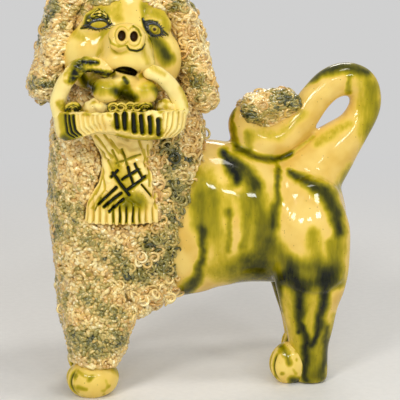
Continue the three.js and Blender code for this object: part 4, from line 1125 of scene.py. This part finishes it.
def build_head(material):
    """The head's lumps pressed together, cut for mouth and nostrils, and split at their joints.
    Gives a search tree of the face, and places for the hair that hangs over it."""
    shapes, cutters = head_shapes()
    points, faces = melt(shapes, HEAD_VOXEL)
    points = relax(points, edges_of(faces), rounds=12)
    points, faces = melt([(points, faces)], HEAD_CUT_VOXEL, cutters)
    edges = edges_of(faces)
    points = relax(points, edges, rounds=4)
    x, y, z = to_head(points).T
    round_nose = np.hypot((x - NOSE_X) / 10.4, (z - NOSE_Z) / 8.0)
    crease = bell(round_nose, 1, 0.07) * (y < -30) * smoothstep(z - NOSE_Z, -4.5, 0.5)
    cleft = bell(x, -0.8, 2.4) * smoothstep(-z, 20, 24) * (y < -20)
    away = np.min([
        np.hypot((x - NOSE_X - side * NOSTRIL_APART) / 2.2, (z - NOSTRIL_Z) / 2.9)
        for side in (LEFT, RIGHT)
    ], axis=0)
    on_nose = y < NOSE_FRONT
    nostrils = (1 - smoothstep(away, 0.8, 1.0)) * smoothstep(y, -41.6, -40.2) * on_nose
    rims = bell(away, 1.62, 0.17) * on_nose
    raised = bell(away, 1.22, 0.2) * on_nose * (1 - nostrils)
    sunk = 0.8 * crease + 2.4 * cleft + 0.5 * rims - 0.6 * raised
    points = points - normals_of(points, faces) * sunk[:, None]
    normals = normals_of(points, faces)
    facing = normals[:, 1] < -0.2
    # Darker glaze in the face's hollows, where the skin lies below a smoothed copy of itself: partly glaze
    # pooled there and partly painted shade.
    smoothed = relax(points, edges, rounds=90)
    fold_pool_and_shade = smoothstep(((smoothed - points) * normals).sum(axis=1), 0.0, 0.7)
    green = np.max([
        glaze_at(points, FACE_WASHES, wander=2.5, soft=1.0),
        glaze_at(points, EYE_LINES, wander=0.6, soft=0.6) * (y > BEHIND_NOSE),
        glaze_at(points, NOSE_LINES, wander=0.6, soft=0.6) * (y < BEHIND_NOSE) * facing,
        glaze_at(points, MOUTH_LINES, wander=0.6, soft=0.6),
        0.4 * fold_pool_and_shade,
        0.3 * crease,
        # olive in the groove round the nostrils: painted shade
        0.3 * rims * facing,
    ], axis=0)
    # The inside of the mouth is painted dark through the hole mark: painted shade, as in the nostrils.
    mouth = smoothstep(y, -38, -33) * (np.abs(z - MOUTH_Z - 1) < 4.4) * (np.abs(x - MOUTH_X) < 6.8)
    mouth = mouth * (y < -19) * smoothstep(-normals[:, 1], 0.9, 0.2)
    owners = ["head", "muzzle", "nose", "lower_jaw", "left_eyelid", "right_eyelid"]
    marks = {"green": green, "hole": np.maximum(nostrils, mouth)}
    add_shells(points, faces, normals, owners, HEAD_WALL, material, "cream_glaze", marks)
    px, py = seen(points)
    hairy = (normals @ BACK > 0.05) & (within(px, py, HAIRLINE[0]) | within(px, py, HAIRLINE[1]))
    numbers = np.flatnonzero(hairy)
    numbers = numbers[even(points[numbers], HAIR_SPACING)]
    return tree_of([(points, triangles(faces))])[0], (points[numbers], normals[numbers])


EYE_MIDDLE = {LEFT: (-14.7, 7.8), RIGHT: (13.4, 7.0)}  # x and z of the head's frame
EYE_SHAPE = {LEFT: (4.5, 2.1, 6), RIGHT: (3.7, 2.5, -30)}  # half length, half height, turn in degrees
EYEBALL_Y, EYEBALL_SIZE = -23.2, (9.6, 6.4, 6.0)
PUPIL_SHIFT, IRIS = -0.3, 2.0  # along x, and the radius of the ring round the pupil
OUTER_CORNER = {LEFT: 0.5, RIGHT: 0.0}  # its turn on the eye's outline
LID_LINE_SWELL = {LEFT: 0.5, RIGHT: 0.2}  # how much thicker the upper lid's line is
LASH_TURNS = {LEFT: np.linspace(0.5, 0.98, 13), RIGHT: np.linspace(0.03, 0.97, 26)}
LID_ARCS = [(1.25, 2.0, 1.0), (1.12, 2.75, 0.9), (0.9, 3.4, 0.75)]  # length and height in eyes, thickness


def eye_line(side, scale, at):
    """Points of an eye's almond outline in the face, at turns from 0 to 1."""
    (x, z), (half, tall, tilt) = EYE_MIDDLE[side], EYE_SHAPE[side]
    angle = np.asarray(at) * 2 * math.pi
    u = half * scale * np.cos(angle)
    v = tall * scale * np.sin(angle) * np.abs(np.sin(angle)) ** 0.25
    u, v = turned(u, v, math.radians(tilt))
    return np.stack([x + u, z + v], axis=1)


def front_of(trees, places, lift):
    """The foremost points of the trees behind the nose, at x and z of the head's frame, lifted a little."""
    found = []
    for x, z in places:
        start = Vector(from_head([x, BEHIND_NOSE, z]))
        hits = [tree.ray_cast(start, Vector((0, 1, 0)))[0] for tree in trees]
        nearest = min((hit for hit in hits if hit), key=lambda hit: hit.y)
        found.append(np.array(nearest) - np.array([0, lift, 0]))
    return np.array(found)


def lit_and_shaded_glaze(points, faces, low, high):
    """Green glaze, painted pale as highlights on ridges that face up and forwards, and dark on the rest and
    in the folds, where it is partly the glaze's own dark and partly painted shade.
    """
    facing = normals_of(points, faces) @ unit(BACK + 0.5 * UP)
    return 1.0 - 0.9 * smoothstep(facing + 0.4 * ripple(points, 1.3, 26), low, high)


def add_lid_curls(trees, material):
    """Arcs of clay over the left eye, with dark glaze between them and painted highlights on their tops."""
    x, z = EYE_MIDDLE[LEFT]
    half, tall, _ = EYE_SHAPE[LEFT]
    bend = np.linspace(0.1, math.pi - 0.1, 24)
    lids = []
    for wide, high, thick in LID_ARCS:
        arc = np.stack([x + half * wide * np.cos(bend), z + tall * high * np.sin(bend)], axis=1)
        lumps = thick * (0.75 + 0.35 * np.cos(bend * 9 + 4 * wide))
        lids.append(tube(front_of(trees, arc, lift=0.1), lumps, sides=12))
    points, faces = join(lids)
    # the pale tops of the arcs are painted highlights
    marks = {"green": lit_and_shaded_glaze(points, faces, low=0.6, high=1.1)}
    add_piece("left_lid_curls", points, faces, material, "dark_glaze", marks=marks)


def build_eyes(skin, material, line):
    """Eyeballs, the curls of the left lid, and the dark lines that are drawn round the eyes."""
    turns = np.linspace(0, 1, 49)
    upper = np.sin(turns * 2 * math.pi).clip(0, 1)
    for side in (LEFT, RIGHT):
        name = SIDE_NAMES[side]
        x, z = EYE_MIDDLE[side]
        points, faces = egg((x, EYEBALL_Y, z), EYEBALL_SIZE, segments=64)
        away = np.hypot(points[:, 0] - x - PUPIL_SHIFT, points[:, 2] - z)
        pupil = (1 - smoothstep(away, 0.75, 1.15)) * (side == RIGHT)
        ring = 0.3 * (1 - smoothstep(np.abs(away - IRIS), 0.15, 0.6)) * (side == RIGHT)
        ball = from_head(points)
        marks = {"green": 0.3 + 0.1 * ripple(ball, 2.0, 3) + ring, "hole": pupil}
        add_glazed(name + "_eyeball", ball, faces, material, "dark_glaze", marks)
        trees = [skin, tree_of([(ball, triangles(faces))])[0]]
        if side == LEFT:
            add_lid_curls(trees, material)

        outline = front_of(trees, eye_line(side, 1.04, turns), lift=0.1)
        lines = [tube(outline, 0.5 + LID_LINE_SWELL[side] * upper)]
        corner = eye_line(side, 1.0, [OUTER_CORNER[side]])[0]
        tip = corner + np.array([side * 3.3, -1.2])
        tail = front_of(trees, np.linspace(corner, tip, 8), lift=0.05)
        lines.append(tube(tail, np.linspace(0.75, 0.25, 8)))
        for number, turn in enumerate(LASH_TURNS[side]):
            inner = eye_line(side, 1.08, [turn])[0]
            outer = eye_line(side, 1.65 + 0.15 * math.sin(number * 2.4), [turn + 0.015])[0]
            lash = front_of(trees, np.linspace(inner, outer, 5), lift=0.0)
            lines.append(tube(lash, np.linspace(0.42, 0.18, 5), sides=6))
        add_piece(name + "_lashes", *join(lines), line, "dark_glaze")


# Paws

HIND_PAW_RUNS = [(0.6, (281, 346, 3), (286, 354, 4), (289, 364, 3)), (0.8, (292, 381, 4), (302, 383, 4))]
FOREPAW_RUNS = [
    (0.35, (78, 372, 2), (88, 376, 2)),
    (0.45, (77, 388, 3), (86, 390, 2)),
    (0.3, (100, 366, 4), (118, 372, 4)),
]
PAWS = [  # kind, middle with y to either side, size, how far back the right one stands, and glaze runs
    ("forepaw", (-17.1, 19.0, 9.5), (28.4, 24, 22), 5, FOREPAW_RUNS),
    ("hind_paw", (92.6, 18.4, 10.75), (22, 18.5, 24), 17, HIND_PAW_RUNS),
]
TOE_GAPS, TOE_GAP_HALF = (-0.42, 0.0, 0.42), 0.075  # shares of half a paw's width
TOE_GAP_DEEP = 1.3


def build_paws(material):
    for side in (LEFT, RIGHT):
        for kind, (x, y, z), size, back, strokes in PAWS:
            middle = (x + (back if side == RIGHT else 0), side * y, z)
            points, faces = egg(middle, size, segments=112)
            local = (points - np.array(middle)) / (np.array(size) / 2)
            out = unit(local / np.array(size))
            front = smoothstep(-local[:, 0], 0.3, 0.75) * smoothstep(local[:, 2], -0.9, -0.2)
            front = front * smoothstep(-local[:, 2], -0.75, -0.3)
            groove = front * np.max([bell(local[:, 1], gap, TOE_GAP_HALF) for gap in TOE_GAPS], axis=0)
            points = points - out * (groove * TOE_GAP_DEEP)[:, None]
            points += out * (0.25 * ripple(points, 6.0, 4))[:, None]
            points[:, 2] = np.maximum(points[:, 2], GROUND_GAP)
            mottle = np.clip(0.9 * ripple(points, 4.0, 41) - 0.1, 0, 0.5)
            runs = glaze_at(points, strokes, wander=2.5, soft=1.0)
            green = np.max([0.75 * groove + 0.1, mottle, runs], axis=0)
            name = SIDE_NAMES[side] + "_" + kind
            add_glazed(name, points, faces, material, "cream_glaze", {"green": green})


# Basket, its handle, what lies in it and the cloth below

BASKET_X, BASKET_HALF, BASKET_DEEP = -4.5, 34.0, 15.0
RIM = 157.5
BASKET_Y = -45.7
BASKET_TALL = 14.5
BASKET_ROWS = [  # shares of the half length, the depth and the height
    (0.86, 0.84, 0.2), (0.97, 0.97, 0.45), (1, 1, 0.75), (1, 1, 0.97),
]
LOWER_EDGE = [  # x, and how far the basket's lower edge stands above an even one
    (-36.5, -4.6), (-29, -1.2), (-17.7, 3.0), (-10.8, 2.6),
    (-2.6, 0), (8.3, -1.5), (16.6, -1.5), (29.5, -2.6),
]
SLOTS = [  # the dark slots in the picture: middle, top and bottom
    (117.2, 114, 130), (125.2, 113, 131), (134.5, 114, 134),
    (142.4, 115, 135), (150.9, 117, 135), (159.4, 119, 137),
]
SLOT_HALF, SLOT_DEEP = 2.9, 2.0
FLUTES = [  # x in the picture, then half width, depth and tone
    ([64.6, 68.6, 72.8], 1.1, 1.7, 1.0),
    ([77.7, 82.6, 87.8, 92.8, 97.6, 102.9], 0.65, 1.8, 0.14),
    ([164.5, 168.8, 173.9, 179.4, 184.2], 0.65, 1.8, 0.25),
]
BACK_FLUTES = 32
WELL_HALF, WELL_WIDE, WELL_DEEP = 29.5, 11.5, 5.0  # the hollow inside the rim
BASKET_WASHES = [
    (0.4, (62, 116, 4), (66, 138, 4)),
    (0.55, (64, 138, 4), (78, 141, 3)),
    (0.4, (116, 124, 5), (138, 128, 6), (160, 132, 5)),
    (0.5, (118, 137, 3), (136, 143, 4), (156, 142, 4)),
]


def basket_turns(px):
    """The turns round the basket's front at which it crosses places of the picture."""
    sweep = np.linspace(0, math.pi, 300)
    x, y = BASKET_X + BASKET_HALF * np.cos(sweep), BASKET_Y - BASKET_DEEP * np.sin(sweep)
    across, _ = seen(np.stack([x, y, np.full(len(sweep), RIM - 6)], axis=1))
    shown = slice(across.argmax(), across.argmin() + 1)
    return np.interp(px, across[shown][::-1], sweep[shown][::-1])


def build_basket(material):
    """A fluted bowl with a wavy rim and lower edge, dark slots in front and a hollow for what it holds."""
    stations = [
        [BASKET_X, BASKET_Y, RIM - BASKET_TALL * (1 - rise), long * BASKET_HALF, deep * BASKET_DEEP]
        for long, deep, rise in BASKET_ROWS
    ]
    caps = (BASKET_TALL * 0.25, 0.6)
    points, faces, _, bearing = limb(stations, ALONG_X, caps, steps=60, sides=420)
    lift = np.interp(points[:, 0], *np.transpose(LOWER_EDGE))
    points[:, 2] += lift * smoothstep(RIM - points[:, 2], 2.0, 10.0)
    out = points - np.array([BASKET_X, BASKET_Y, 0])
    out = unit(out * np.array([1 / BASKET_HALF**2, 1 / BASKET_DEEP**2, 0]))
    px, py = seen(points)
    turn = 2 * math.pi - bearing
    speed = np.hypot(BASKET_HALF * np.sin(turn), BASKET_DEEP * np.cos(turn))
    front = turn < math.pi
    upright = smoothstep(points[:, 2] - lift, RIM - 13.6, RIM - 11.6)
    upright = upright * smoothstep(RIM - points[:, 2], 0.6, 2.0)
    waver = ripple(points, 5.0, 2)
    dent, dark, lip = np.zeros((3, len(points)))
    for x, top, bottom in SLOTS:
        beyond = np.maximum(np.maximum(py - bottom + 2.5, top + 1.5 - py), 0)
        across = np.hypot(px + 0.8 * waver - x - 0.06 * (py - 125), beyond) / SLOT_HALF
        slot = np.exp(-(across**4)) * front
        dent = np.maximum(dent, SLOT_DEEP * slot)
        dark = np.maximum(dark, 1.05 * slot)
        lip = np.maximum(lip, bell(across, 1.5, 0.4) * front)
    for lines, half, depth, tone in FLUTES:
        for place in basket_turns(lines):
            groove = bell((turn - place) * speed + 0.3 * waver, 0, half) * front * upright
            dent = np.maximum(dent, depth * groove)
            dark = np.maximum(dark, tone * groove)
    dent = np.where(front, dent, 0.8 * (0.5 + 0.5 * np.cos(bearing * BACK_FLUTES)) ** 2 * upright)
    well = smoothstep(points[:, 2], RIM - 1.2, RIM - 0.4)
    edge = smoothstep(points[:, 2], RIM - 4.0, RIM - 1.0)
    points = points - out * (dent - 0.7 * lip * (dent < 0.6) - 0.7 * edge * ripple(points, 3.5, 9))[:, None]
    hollow = ((points[:, 0] - BASKET_X) / WELL_HALF) ** 2 + ((points[:, 1] - BASKET_Y) / WELL_WIDE) ** 2
    hollow = np.clip(1 - hollow, 0, 1)
    points[:, 2] -= well * WELL_DEEP * np.sqrt(hollow)
    points[:, 2] += 0.9 * edge * ripple(points, 4.0, 10)
    streaky = np.clip(0.3 + 0.8 * ripple(points, 3.0, 11), 0, 1) * edge * 0.5
    washes = glaze_at(points, BASKET_WASHES, wander=1.0)
    green = np.max([dark, washes, streaky], axis=0) + 0.45 * well * hollow
    add_glazed("basket", points, faces, material, "cream_glaze", {"green": green})


HANDLE_BOW = {  # shares of the way in and of the way up from the basket to the mouth
    LEFT: [(0, 0), (-0.04, 0.28), (0.04, 0.57), (0.21, 0.86), (0.46, 1.07), (0.73, 1.1), (1, 1)],
    RIGHT: [(0, 0), (0.105, 0.295), (0.384, 0.636), (0.716, 0.895), (1, 1)],
}
HANDLE_END = np.array([11.34, -32.3, -13.54])  # at the right corner of the mouth, in the head's frame
HANDLE_FOOT = np.array([30.8, -1.5, -1.5])  # from the middle of the basket's rim to the right foot
HANDLE_RUNS = {
    LEFT: [
        (1.05, (70, 76, 5), (74, 66, 5), (84, 60, 4), (96, 62, 3)),
        (1.0, (84, 72, 5), (94, 74, 4), (110, 74, 3)),
        (0.4, (61, 104, 4), (66, 110, 4)),
    ],
    RIGHT: [(0.2, (150, 66, 4), (166, 74, 3)), (0.25, (180, 88, 3), (187, 104, 3))],
}


def build_handles(material):
    for side in (LEFT, RIGHT):
        mirror = np.array([side, 1, 1])
        end = from_head(HANDLE_END * mirror)
        foot = np.array([BASKET_X, BASKET_Y, RIM]) + HANDLE_FOOT * mirror
        stations = [
            [*(foot + (end - foot) * np.array([inwards, upwards, upwards])), 3.7, 4.0]
            for inwards, upwards in HANDLE_BOW[side]
        ]
        points, faces, along, _ = limb(stations, ALONG_Y, caps=(4, 4), steps=90, sides=40)
        bumps = 0.35 * ripple(points, 7.0, 8 + side)
        if side == LEFT:
            bumps += ripple(points, 2.2, 6) * smoothstep(along, 0.35, 0.6)
        points = points + normals_of(points, faces) * bumps[:, None]
        if side == LEFT:
            green = glaze_at(points, HANDLE_RUNS[side], wander=5.0, soft=1.1)
            # paler dapples in the dark glaze at the top of the left handle: painted glints
            green = green * np.clip(0.98 + 0.6 * ripple(points, 1.4, 25), 0.3, 1.1)
        else:
            green = glaze_at(points, HANDLE_RUNS[side], wander=3.0, soft=1.0)
        name = SIDE_NAMES[side] + "_basket_handle"
        add_glazed(name, points, faces, material, "cream_glaze", {"green": green})


FILLED = RIM - 5.0  # the level that what lies in the basket stands on
ROLLS = [(LEFT, -0.34, 18.0), (RIGHT, 0.66, 13.5)]  # share of the basket's half length, and length
ROLL_AHEAD, ROLL_UP, ROLL_HALF = 2.6, 5.58, 4.5
FLOWERS = [(LEFT, -0.74, 7.0, 6.2), (RIGHT, 0.31, 9.0, 6.0)]  # share, how far forwards, height
FLOWER_POINTS, FLOWER_TURNS, FLOWER_LEAN = 70, 2.35, math.radians(55)
LEAF_SHARE, LEAF_AHEAD, LEAF_UP = 0.02, 3.0, 6.0
LEAF_SIZE, LEAF_LEAN = (8, 3, 11), math.radians(-35)
FRILLS = [(-6.0, 20), (-2.0, -35), (2.5, 30), (6.0, -15)]  # x from the leaf's middle, and turn in degrees
FRILL_POINTS, FRILL_TURNS = 40, 1.5


def in_basket(share, ahead, up):
    """A place among what lies in the basket."""
    return np.array([BASKET_X + share * BASKET_HALF, BASKET_Y - ahead, FILLED + up])


def build_rolls(material):
    for side, share, length in ROLLS:
        x, y, z = in_basket(share, ROLL_AHEAD, ROLL_UP)
        reach = length / 2 - ROLL_HALF
        bow = reach**2 / ROLL_HALF / 4
        stations = [
            [x - reach, y, z, 3.6, 3.6],
            [x, y - bow, z + bow, ROLL_HALF, ROLL_HALF],
            [x + reach, y, z, 3.15, 3.15],
        ]
        points, faces, _, _ = limb(stations, ALONG_Y, caps=(3.4, 3.4), steps=30, sides=40)
        bumps = 0.9 * ripple(points, 3.6, 12 + side) + 0.3 * ripple(points, 1.6, 14)
        points = points + normals_of(points, faces) * bumps[:, None]
        marks = {"green": np.clip(0.1 + 0.5 * ripple(points, 3.0, 15), 0, 1)}
        add_glazed(SIDE_NAMES[side] + "_bread_roll", points, faces, material, "cream_glaze", marks)


def build_flowers(material):
    """Scrolls of clay that lean back."""
    turn = np.linspace(0, FLOWER_TURNS * 2 * math.pi, FLOWER_POINTS)
    radius = np.linspace(3.6, 0.9, FLOWER_POINTS)
    up = radius * np.sin(turn)
    forwards = -up * math.cos(FLOWER_LEAN) - np.linspace(0, 1, FLOWER_POINTS)
    scroll = np.stack([radius * np.cos(turn), forwards, up * math.sin(FLOWER_LEAN)], axis=1)
    for side, *place in FLOWERS:
        points, faces = tube(in_basket(*place) + scroll, np.linspace(1.15, 0.75, FLOWER_POINTS), sides=10)
        # the scrolls are painted pale as highlights where they face up and forwards, and dark as painted
        # shade where they turn away
        marks = {"green": lit_and_shaded_glaze(points, faces, low=0.2, high=0.9)}
        add_glazed(SIDE_NAMES[side] + "_flower", points, faces, material, "olive_glaze", marks)


def build_leaf(material):
    """A bent leaf, with frills of clay in front of it."""
    middle = in_basket(LEAF_SHARE, LEAF_AHEAD, LEAF_UP)
    points, faces = egg((0, 0, 0), LEAF_SIZE)
    points[:, 1] += 0.5 * np.cos(points[:, 2] * 1.6) - 0.06 * points[:, 0] ** 2
    points[:, 1], points[:, 2] = turned(points[:, 1], points[:, 2], LEAF_LEAN)
    shapes = [(points + middle, faces)]
    radius = np.linspace(2.6, 1.2, FRILL_POINTS)
    for x, start in FRILLS:
        turn = np.linspace(0, FRILL_TURNS * 2 * math.pi, FRILL_POINTS) + math.radians(start)
        frill = [x + radius * np.cos(turn), -6.0 - 0.4 * radius, 0.5 + 0.9 * radius * np.sin(turn)]
        shapes.append(tube(middle + np.transpose(frill), 0.85))
    points, faces = join(shapes)
    # the leaf and frills are painted pale as highlights where they face up and forwards, and dark as
    # painted shade where they turn away
    marks = {"green": lit_and_shaded_glaze(points, faces, low=0.2, high=0.9)}
    add_glazed("leaf", points, faces, material, "olive_glaze", marks)


CLOTH_CUTS = [  # hatched lines in the picture: both ends, strength and half width
    ((112.7, 173), (129.7, 196), 1.0, 1.5), ((122, 150), (134, 186), 0.6, 1.1),
    ((128, 168), (134, 186), 1.0, 1.4),
    ((118.8, 131.8), (127.3, 137.9), 0.95, 1.1), ((135, 164), (143, 178), 0.9, 1.3),
    ((141.8, 185), (151.5, 196), 0.95, 0.9), ((112.7, 151), (118.8, 167), 0.45, 1.2),
    ((107.9, 161), (112.7, 170.6), 0.35, 1.0), ((127.3, 190), (146, 177), 1.0, 1.7),
    ((122.4, 180), (139, 169.5), 1.0, 1.4), ((111.5, 176.7), (117.6, 170.6), 0.95, 1.4),
    ((116, 164), (140.6, 154.8), 0.5, 1.1), ((98.2, 204.5), (116.4, 187.6), 1.0, 1.5),
    ((104.2, 207), (121.2, 193.6), 1.0, 1.6), ((109, 211.8), (123.6, 199.7), 0.95, 1.5),
    ((94.5, 210.6), (100.6, 198.5), 0.6, 0.9), ((128, 199), (138, 206), 0.5, 1.4),
]
CLOTH_FOLDS = [  # both ends of soft folds in the picture
    ((88, 138), (108, 160)), ((95, 136), (113, 158)), ((104, 135), (119, 153)), ((138, 137), (146, 160)),
    ((100, 152), (105, 190)), ((105, 190), (92, 208)), ((148, 146), (149, 186)), ((144, 150), (145, 166)),
    ((153, 190), (156, 208)), ((99, 184), (88, 206)), ((97, 156), (101, 178)), ((101, 178), (96, 194)),
    ((152, 150), (153, 186)), ((110, 140), (124, 156)),
]
FOLD_HALF = 1.2
HEM_LEFT, HEM_RIGHT, HEM_RIBS = 86.5, 160.0, 11
CLOTH_WASHES = [
    (0.3, (116, 166, 7), (128, 190, 9)),
    (0.3, (106, 202, 8), (140, 204, 8)),
    (0.4, (128, 204, 6), (140, 200, 6)),
    # a faint darker wash at the top of the cloth, under the basket: painted shade
    (0.12, (120, 150, 8), (138, 160, 8)),
]
CLOTH_TOP, CLOTH_TALL = RIM - BASKET_TALL * 0.8 + 2.0, 51
CLOTH_HALF_THICK, CLOTH_OUT, CLOTH_TOP_OUT = 6.5, 3.0, 5.0
CLOTH = [  # share of its height, width, and shift along x
    (0, 34, -2.4), (0.1, 31.5, -1.4), (0.2, 28.6, -0.2), (0.36, 26, 0.8),
    (0.62, 29.2, 0.5), (0.85, 38.6, -1.0), (1, 40, -1.2),
]
CHEST_HALF, CHEST_FOOT, CHEST_TALL = 28, 48, 130
# Shares of the chest's height and half width
CHEST_SHARES = [(0.03, 0.72), (0.15, 0.79), (0.38, 0.9), (0.7, 1), (0.9, 0.95)]


def lines_at(px, py, lines):
    """How near pixels lie to lines, from 0 to 1, and their distance from the nearest one."""
    near = np.zeros(len(px))
    nearest = np.full(len(px), np.inf)
    for start, end, *rest in lines:
        strength, half = rest or (1.0, FOLD_HALF)
        _, away = beside(px, py, start, end)
        near = np.maximum(near, strength * np.exp(-((away / half / 1.2) ** 4)))
        nearest = np.minimum(nearest, away)
    return near, nearest


def build_cloth(material):
    """A gathered cloth with folds, hatched lines and a ribbed hem."""
    stations = []
    for drop, wide, shift in CLOTH:
        up = CLOTH_TOP - drop * CLOTH_TALL
        chest = CHEST_HALF * np.interp((up - CHEST_FOOT) / CHEST_TALL, *np.transpose(CHEST_SHARES))
        y = -chest - CLOTH_OUT - CLOTH_TOP_OUT * (1 - smoothstep(drop, 0.0, 0.4))
        stations.append([shift, y, up, wide / 2, CLOTH_HALF_THICK])
    points, faces, along, _ = limb(stations, ALONG_X, caps=(3, 1.5), steps=220, sides=320)
    out = normals_of(points, faces)
    facing = smoothstep(-out[:, 1], 0.0, 0.4)
    px, py = seen(points)
    px, py = px + 0.7 * ripple(points, 5.0, 31), py + 0.7 * ripple(points, 5.0, 32)
    hatch, nearest = lines_at(px, py, CLOTH_CUTS)
    folds, _ = lines_at(px, py, CLOTH_FOLDS)
    pillow = band(nearest, 1.0, 4.0, 5.0, 9.0)
    hem = smoothstep(along, 0.76, 0.84) * facing
    place = np.clip((px - HEM_LEFT) / (HEM_RIGHT - HEM_LEFT), 0, 1) * HEM_RIBS
    ribs = bell(place, np.round(place), 0.19) * hem
    depth = 1.6 * hatch + (folds - pillow) * (1 - hem) + 2.2 * ribs - 0.5 * hem
    points = points - out * (depth * facing)[:, None]
    points += out * (0.25 * ripple(points, 4.0, 33) * facing)[:, None]
    ribbed = ribs * (0.25 + 0.75 * band(place, 3.4, 4.4, 7.4, 8.6))
    washes = glaze_at(points, CLOTH_WASHES)
    green = np.max([1.08 * hatch, ribbed, washes, 0.3 * folds], axis=0) * facing
    add_glazed("basket_cloth", points, faces, material, "straw_glaze", {"green": green})


# Light and room

BACKDROP = linear(208, 208, 208)
SKY, SKY_STRENGTH = (1.0, 0.98, 0.95, 1.0), 0.26
FLOOR_HALF = 6.0
FADE_START, FADE_END = 200.0, 900.0  # where the floor turns into the backdrop
WARM, COOL = (1.0, 0.97, 0.92), (0.94, 0.98, 1.0)
LIGHT_TARGET = Vector((0, 0, 0.11))
PANELS = [  # name, place, width, height, radiance, colour, and whether the glaze mirrors it
    ("key", (-0.9, -1.2, 1.1), 0.4, 0.3, 28.0, WARM, True),
    ("window_left", (-0.35, -1.35, 0.85), 0.26, 0.11, 32.0, COOL, True),
    ("window_middle", (0.1, -1.35, 0.82), 0.22, 0.1, 32.0, COOL, True),
    ("window_right", (0.55, -1.25, 0.85), 0.26, 0.11, 32.0, COOL, True),
    ("front", (-0.15, -1.5, 0.4), 0.7, 0.25, 3.5, WARM, False),
    ("top", (0.3, -0.4, 1.5), 0.4, 0.25, 14.0, WARM, True),
    ("fill", (1.3, -0.7, 0.6), 0.5, 0.5, 2.0, WARM, False),
    ("back", (0.4, 1.3, 1.2), 0.6, 0.4, 9.0, WARM, True),
]


def seen_directly(tree):
    """1 for the rays that show the backdrop, and 0 for those that carry its light."""
    rays = tree.nodes.new("ShaderNodeLightPath")
    total = rays.outputs["Is Camera Ray"]
    for kind in ("Is Glossy Ray", "Is Transmission Ray"):
        either = tree.nodes.new("ShaderNodeMath")
        either.operation = "MAXIMUM"
        tree.links.new(total, either.inputs[0])
        tree.links.new(rays.outputs[kind], either.inputs[1])
        total = either.outputs[0]
    return total


def mix_shaders(tree, share, first, second, output):
    """Two shaders mixed into the output of a tree."""
    blend = tree.nodes.new("ShaderNodeMixShader")
    for source, socket in zip((share, first.outputs[0], second.outputs[0]), blend.inputs):
        tree.links.new(source, socket)
    tree.links.new(blend.outputs[0], tree.nodes[output].inputs["Surface"])


def build_world():
    world = bpy.data.worlds.new("soft_light")
    bpy.context.scene.world = world
    world.use_nodes = True
    tree = world.node_tree
    light = tree.nodes["Background"]
    light.inputs["Color"].default_value = SKY
    light.inputs["Strength"].default_value = SKY_STRENGTH
    shown = tree.nodes.new("ShaderNodeBackground")
    shown.inputs["Color"].default_value = BACKDROP
    mix_shaders(tree, seen_directly(tree), light, shown, "World Output")


def build_floor():
    """A pale floor that fades into the backdrop, for the rays that show it."""
    corners = np.array([[-1, -1, 0], [1, -1, 0], [1, 1, 0], [-1, 1, 0]]) * FLOOR_HALF
    floor = add_object("floor", mesh_of("floor", corners, [np.array([[0, 1, 2, 3]])], smooth=False))
    paint = Paint("pale_floor")
    grain = paint.noise(4.0, 3.0)
    colour = paint.mix(paint.span(grain, 0.3, 0.7), linear(230, 229, 227), linear(234, 233, 231))
    floor.data.materials.append(paint.finished(colour, paint.span(grain, 0.3, 0.7, 0.7, 0.85), under=0.2))
    away = paint.add("VectorMath")
    away.operation = "LENGTH"
    paint.feed(away.inputs[0], paint.millimetres)
    fade = paint.span(away.outputs["Value"], FADE_START, FADE_END)
    fade = paint.math("MULTIPLY", fade, seen_directly(paint.tree))
    wall = paint.add("Emission", Color=BACKDROP)
    mix_shaders(paint.tree, fade, paint.shader, wall, "Material Output")


def build_lights():
    for name, place, width, height, radiance, colour, mirrored in PANELS:
        light = bpy.data.lights.new(name, "AREA")
        light.shape = "RECTANGLE"
        light.size, light.size_y = width, height
        light.energy = radiance * math.pi * width * height
        light.color = colour
        lamp = add_object(name, light)
        lamp.location = place
        lamp.visible_glossy = mirrored
        lamp.rotation_euler = (Vector(place) - LIGHT_TARGET).to_track_quat("Z", "Y").to_euler()


place_camera()
honey = glazed("honey_glaze", (230, 196, 106), (218, 178, 82))
cream = glazed("cream_glaze", (240, 212, 118), (232, 196, 98))
straw = glazed("straw_glaze", (252, 226, 142), (242, 208, 120))
pale = glazed("pale_glaze", (250, 230, 150), (242, 212, 126))
olive = glazed("olive_glaze", (206, 178, 84), (176, 154, 58), specks=False)
coat = sieved("coat_glaze")
clay = plain_clay("covered_clay")
line = dark_line("dark_line_glaze")
for hidden in ("chest", "left_foreleg", "right_foreleg", "left_ear", "right_ear"):
    nodes[hidden].data.materials.clear()
    nodes[hidden].data.materials.append(clay)
build_body(honey)
face_skin, hairline = build_head(cream)
build_eyes(face_skin, cream, line)
build_paws(cream)
build_basket(pale)
build_handles(pale)
build_rolls(pale)
build_flowers(olive)
build_leaf(olive)
build_cloth(straw)
build_coats(coat, hairline)
build_world()
build_floor()
build_lights()
bpy.context.scene.view_settings.view_transform = "Standard"
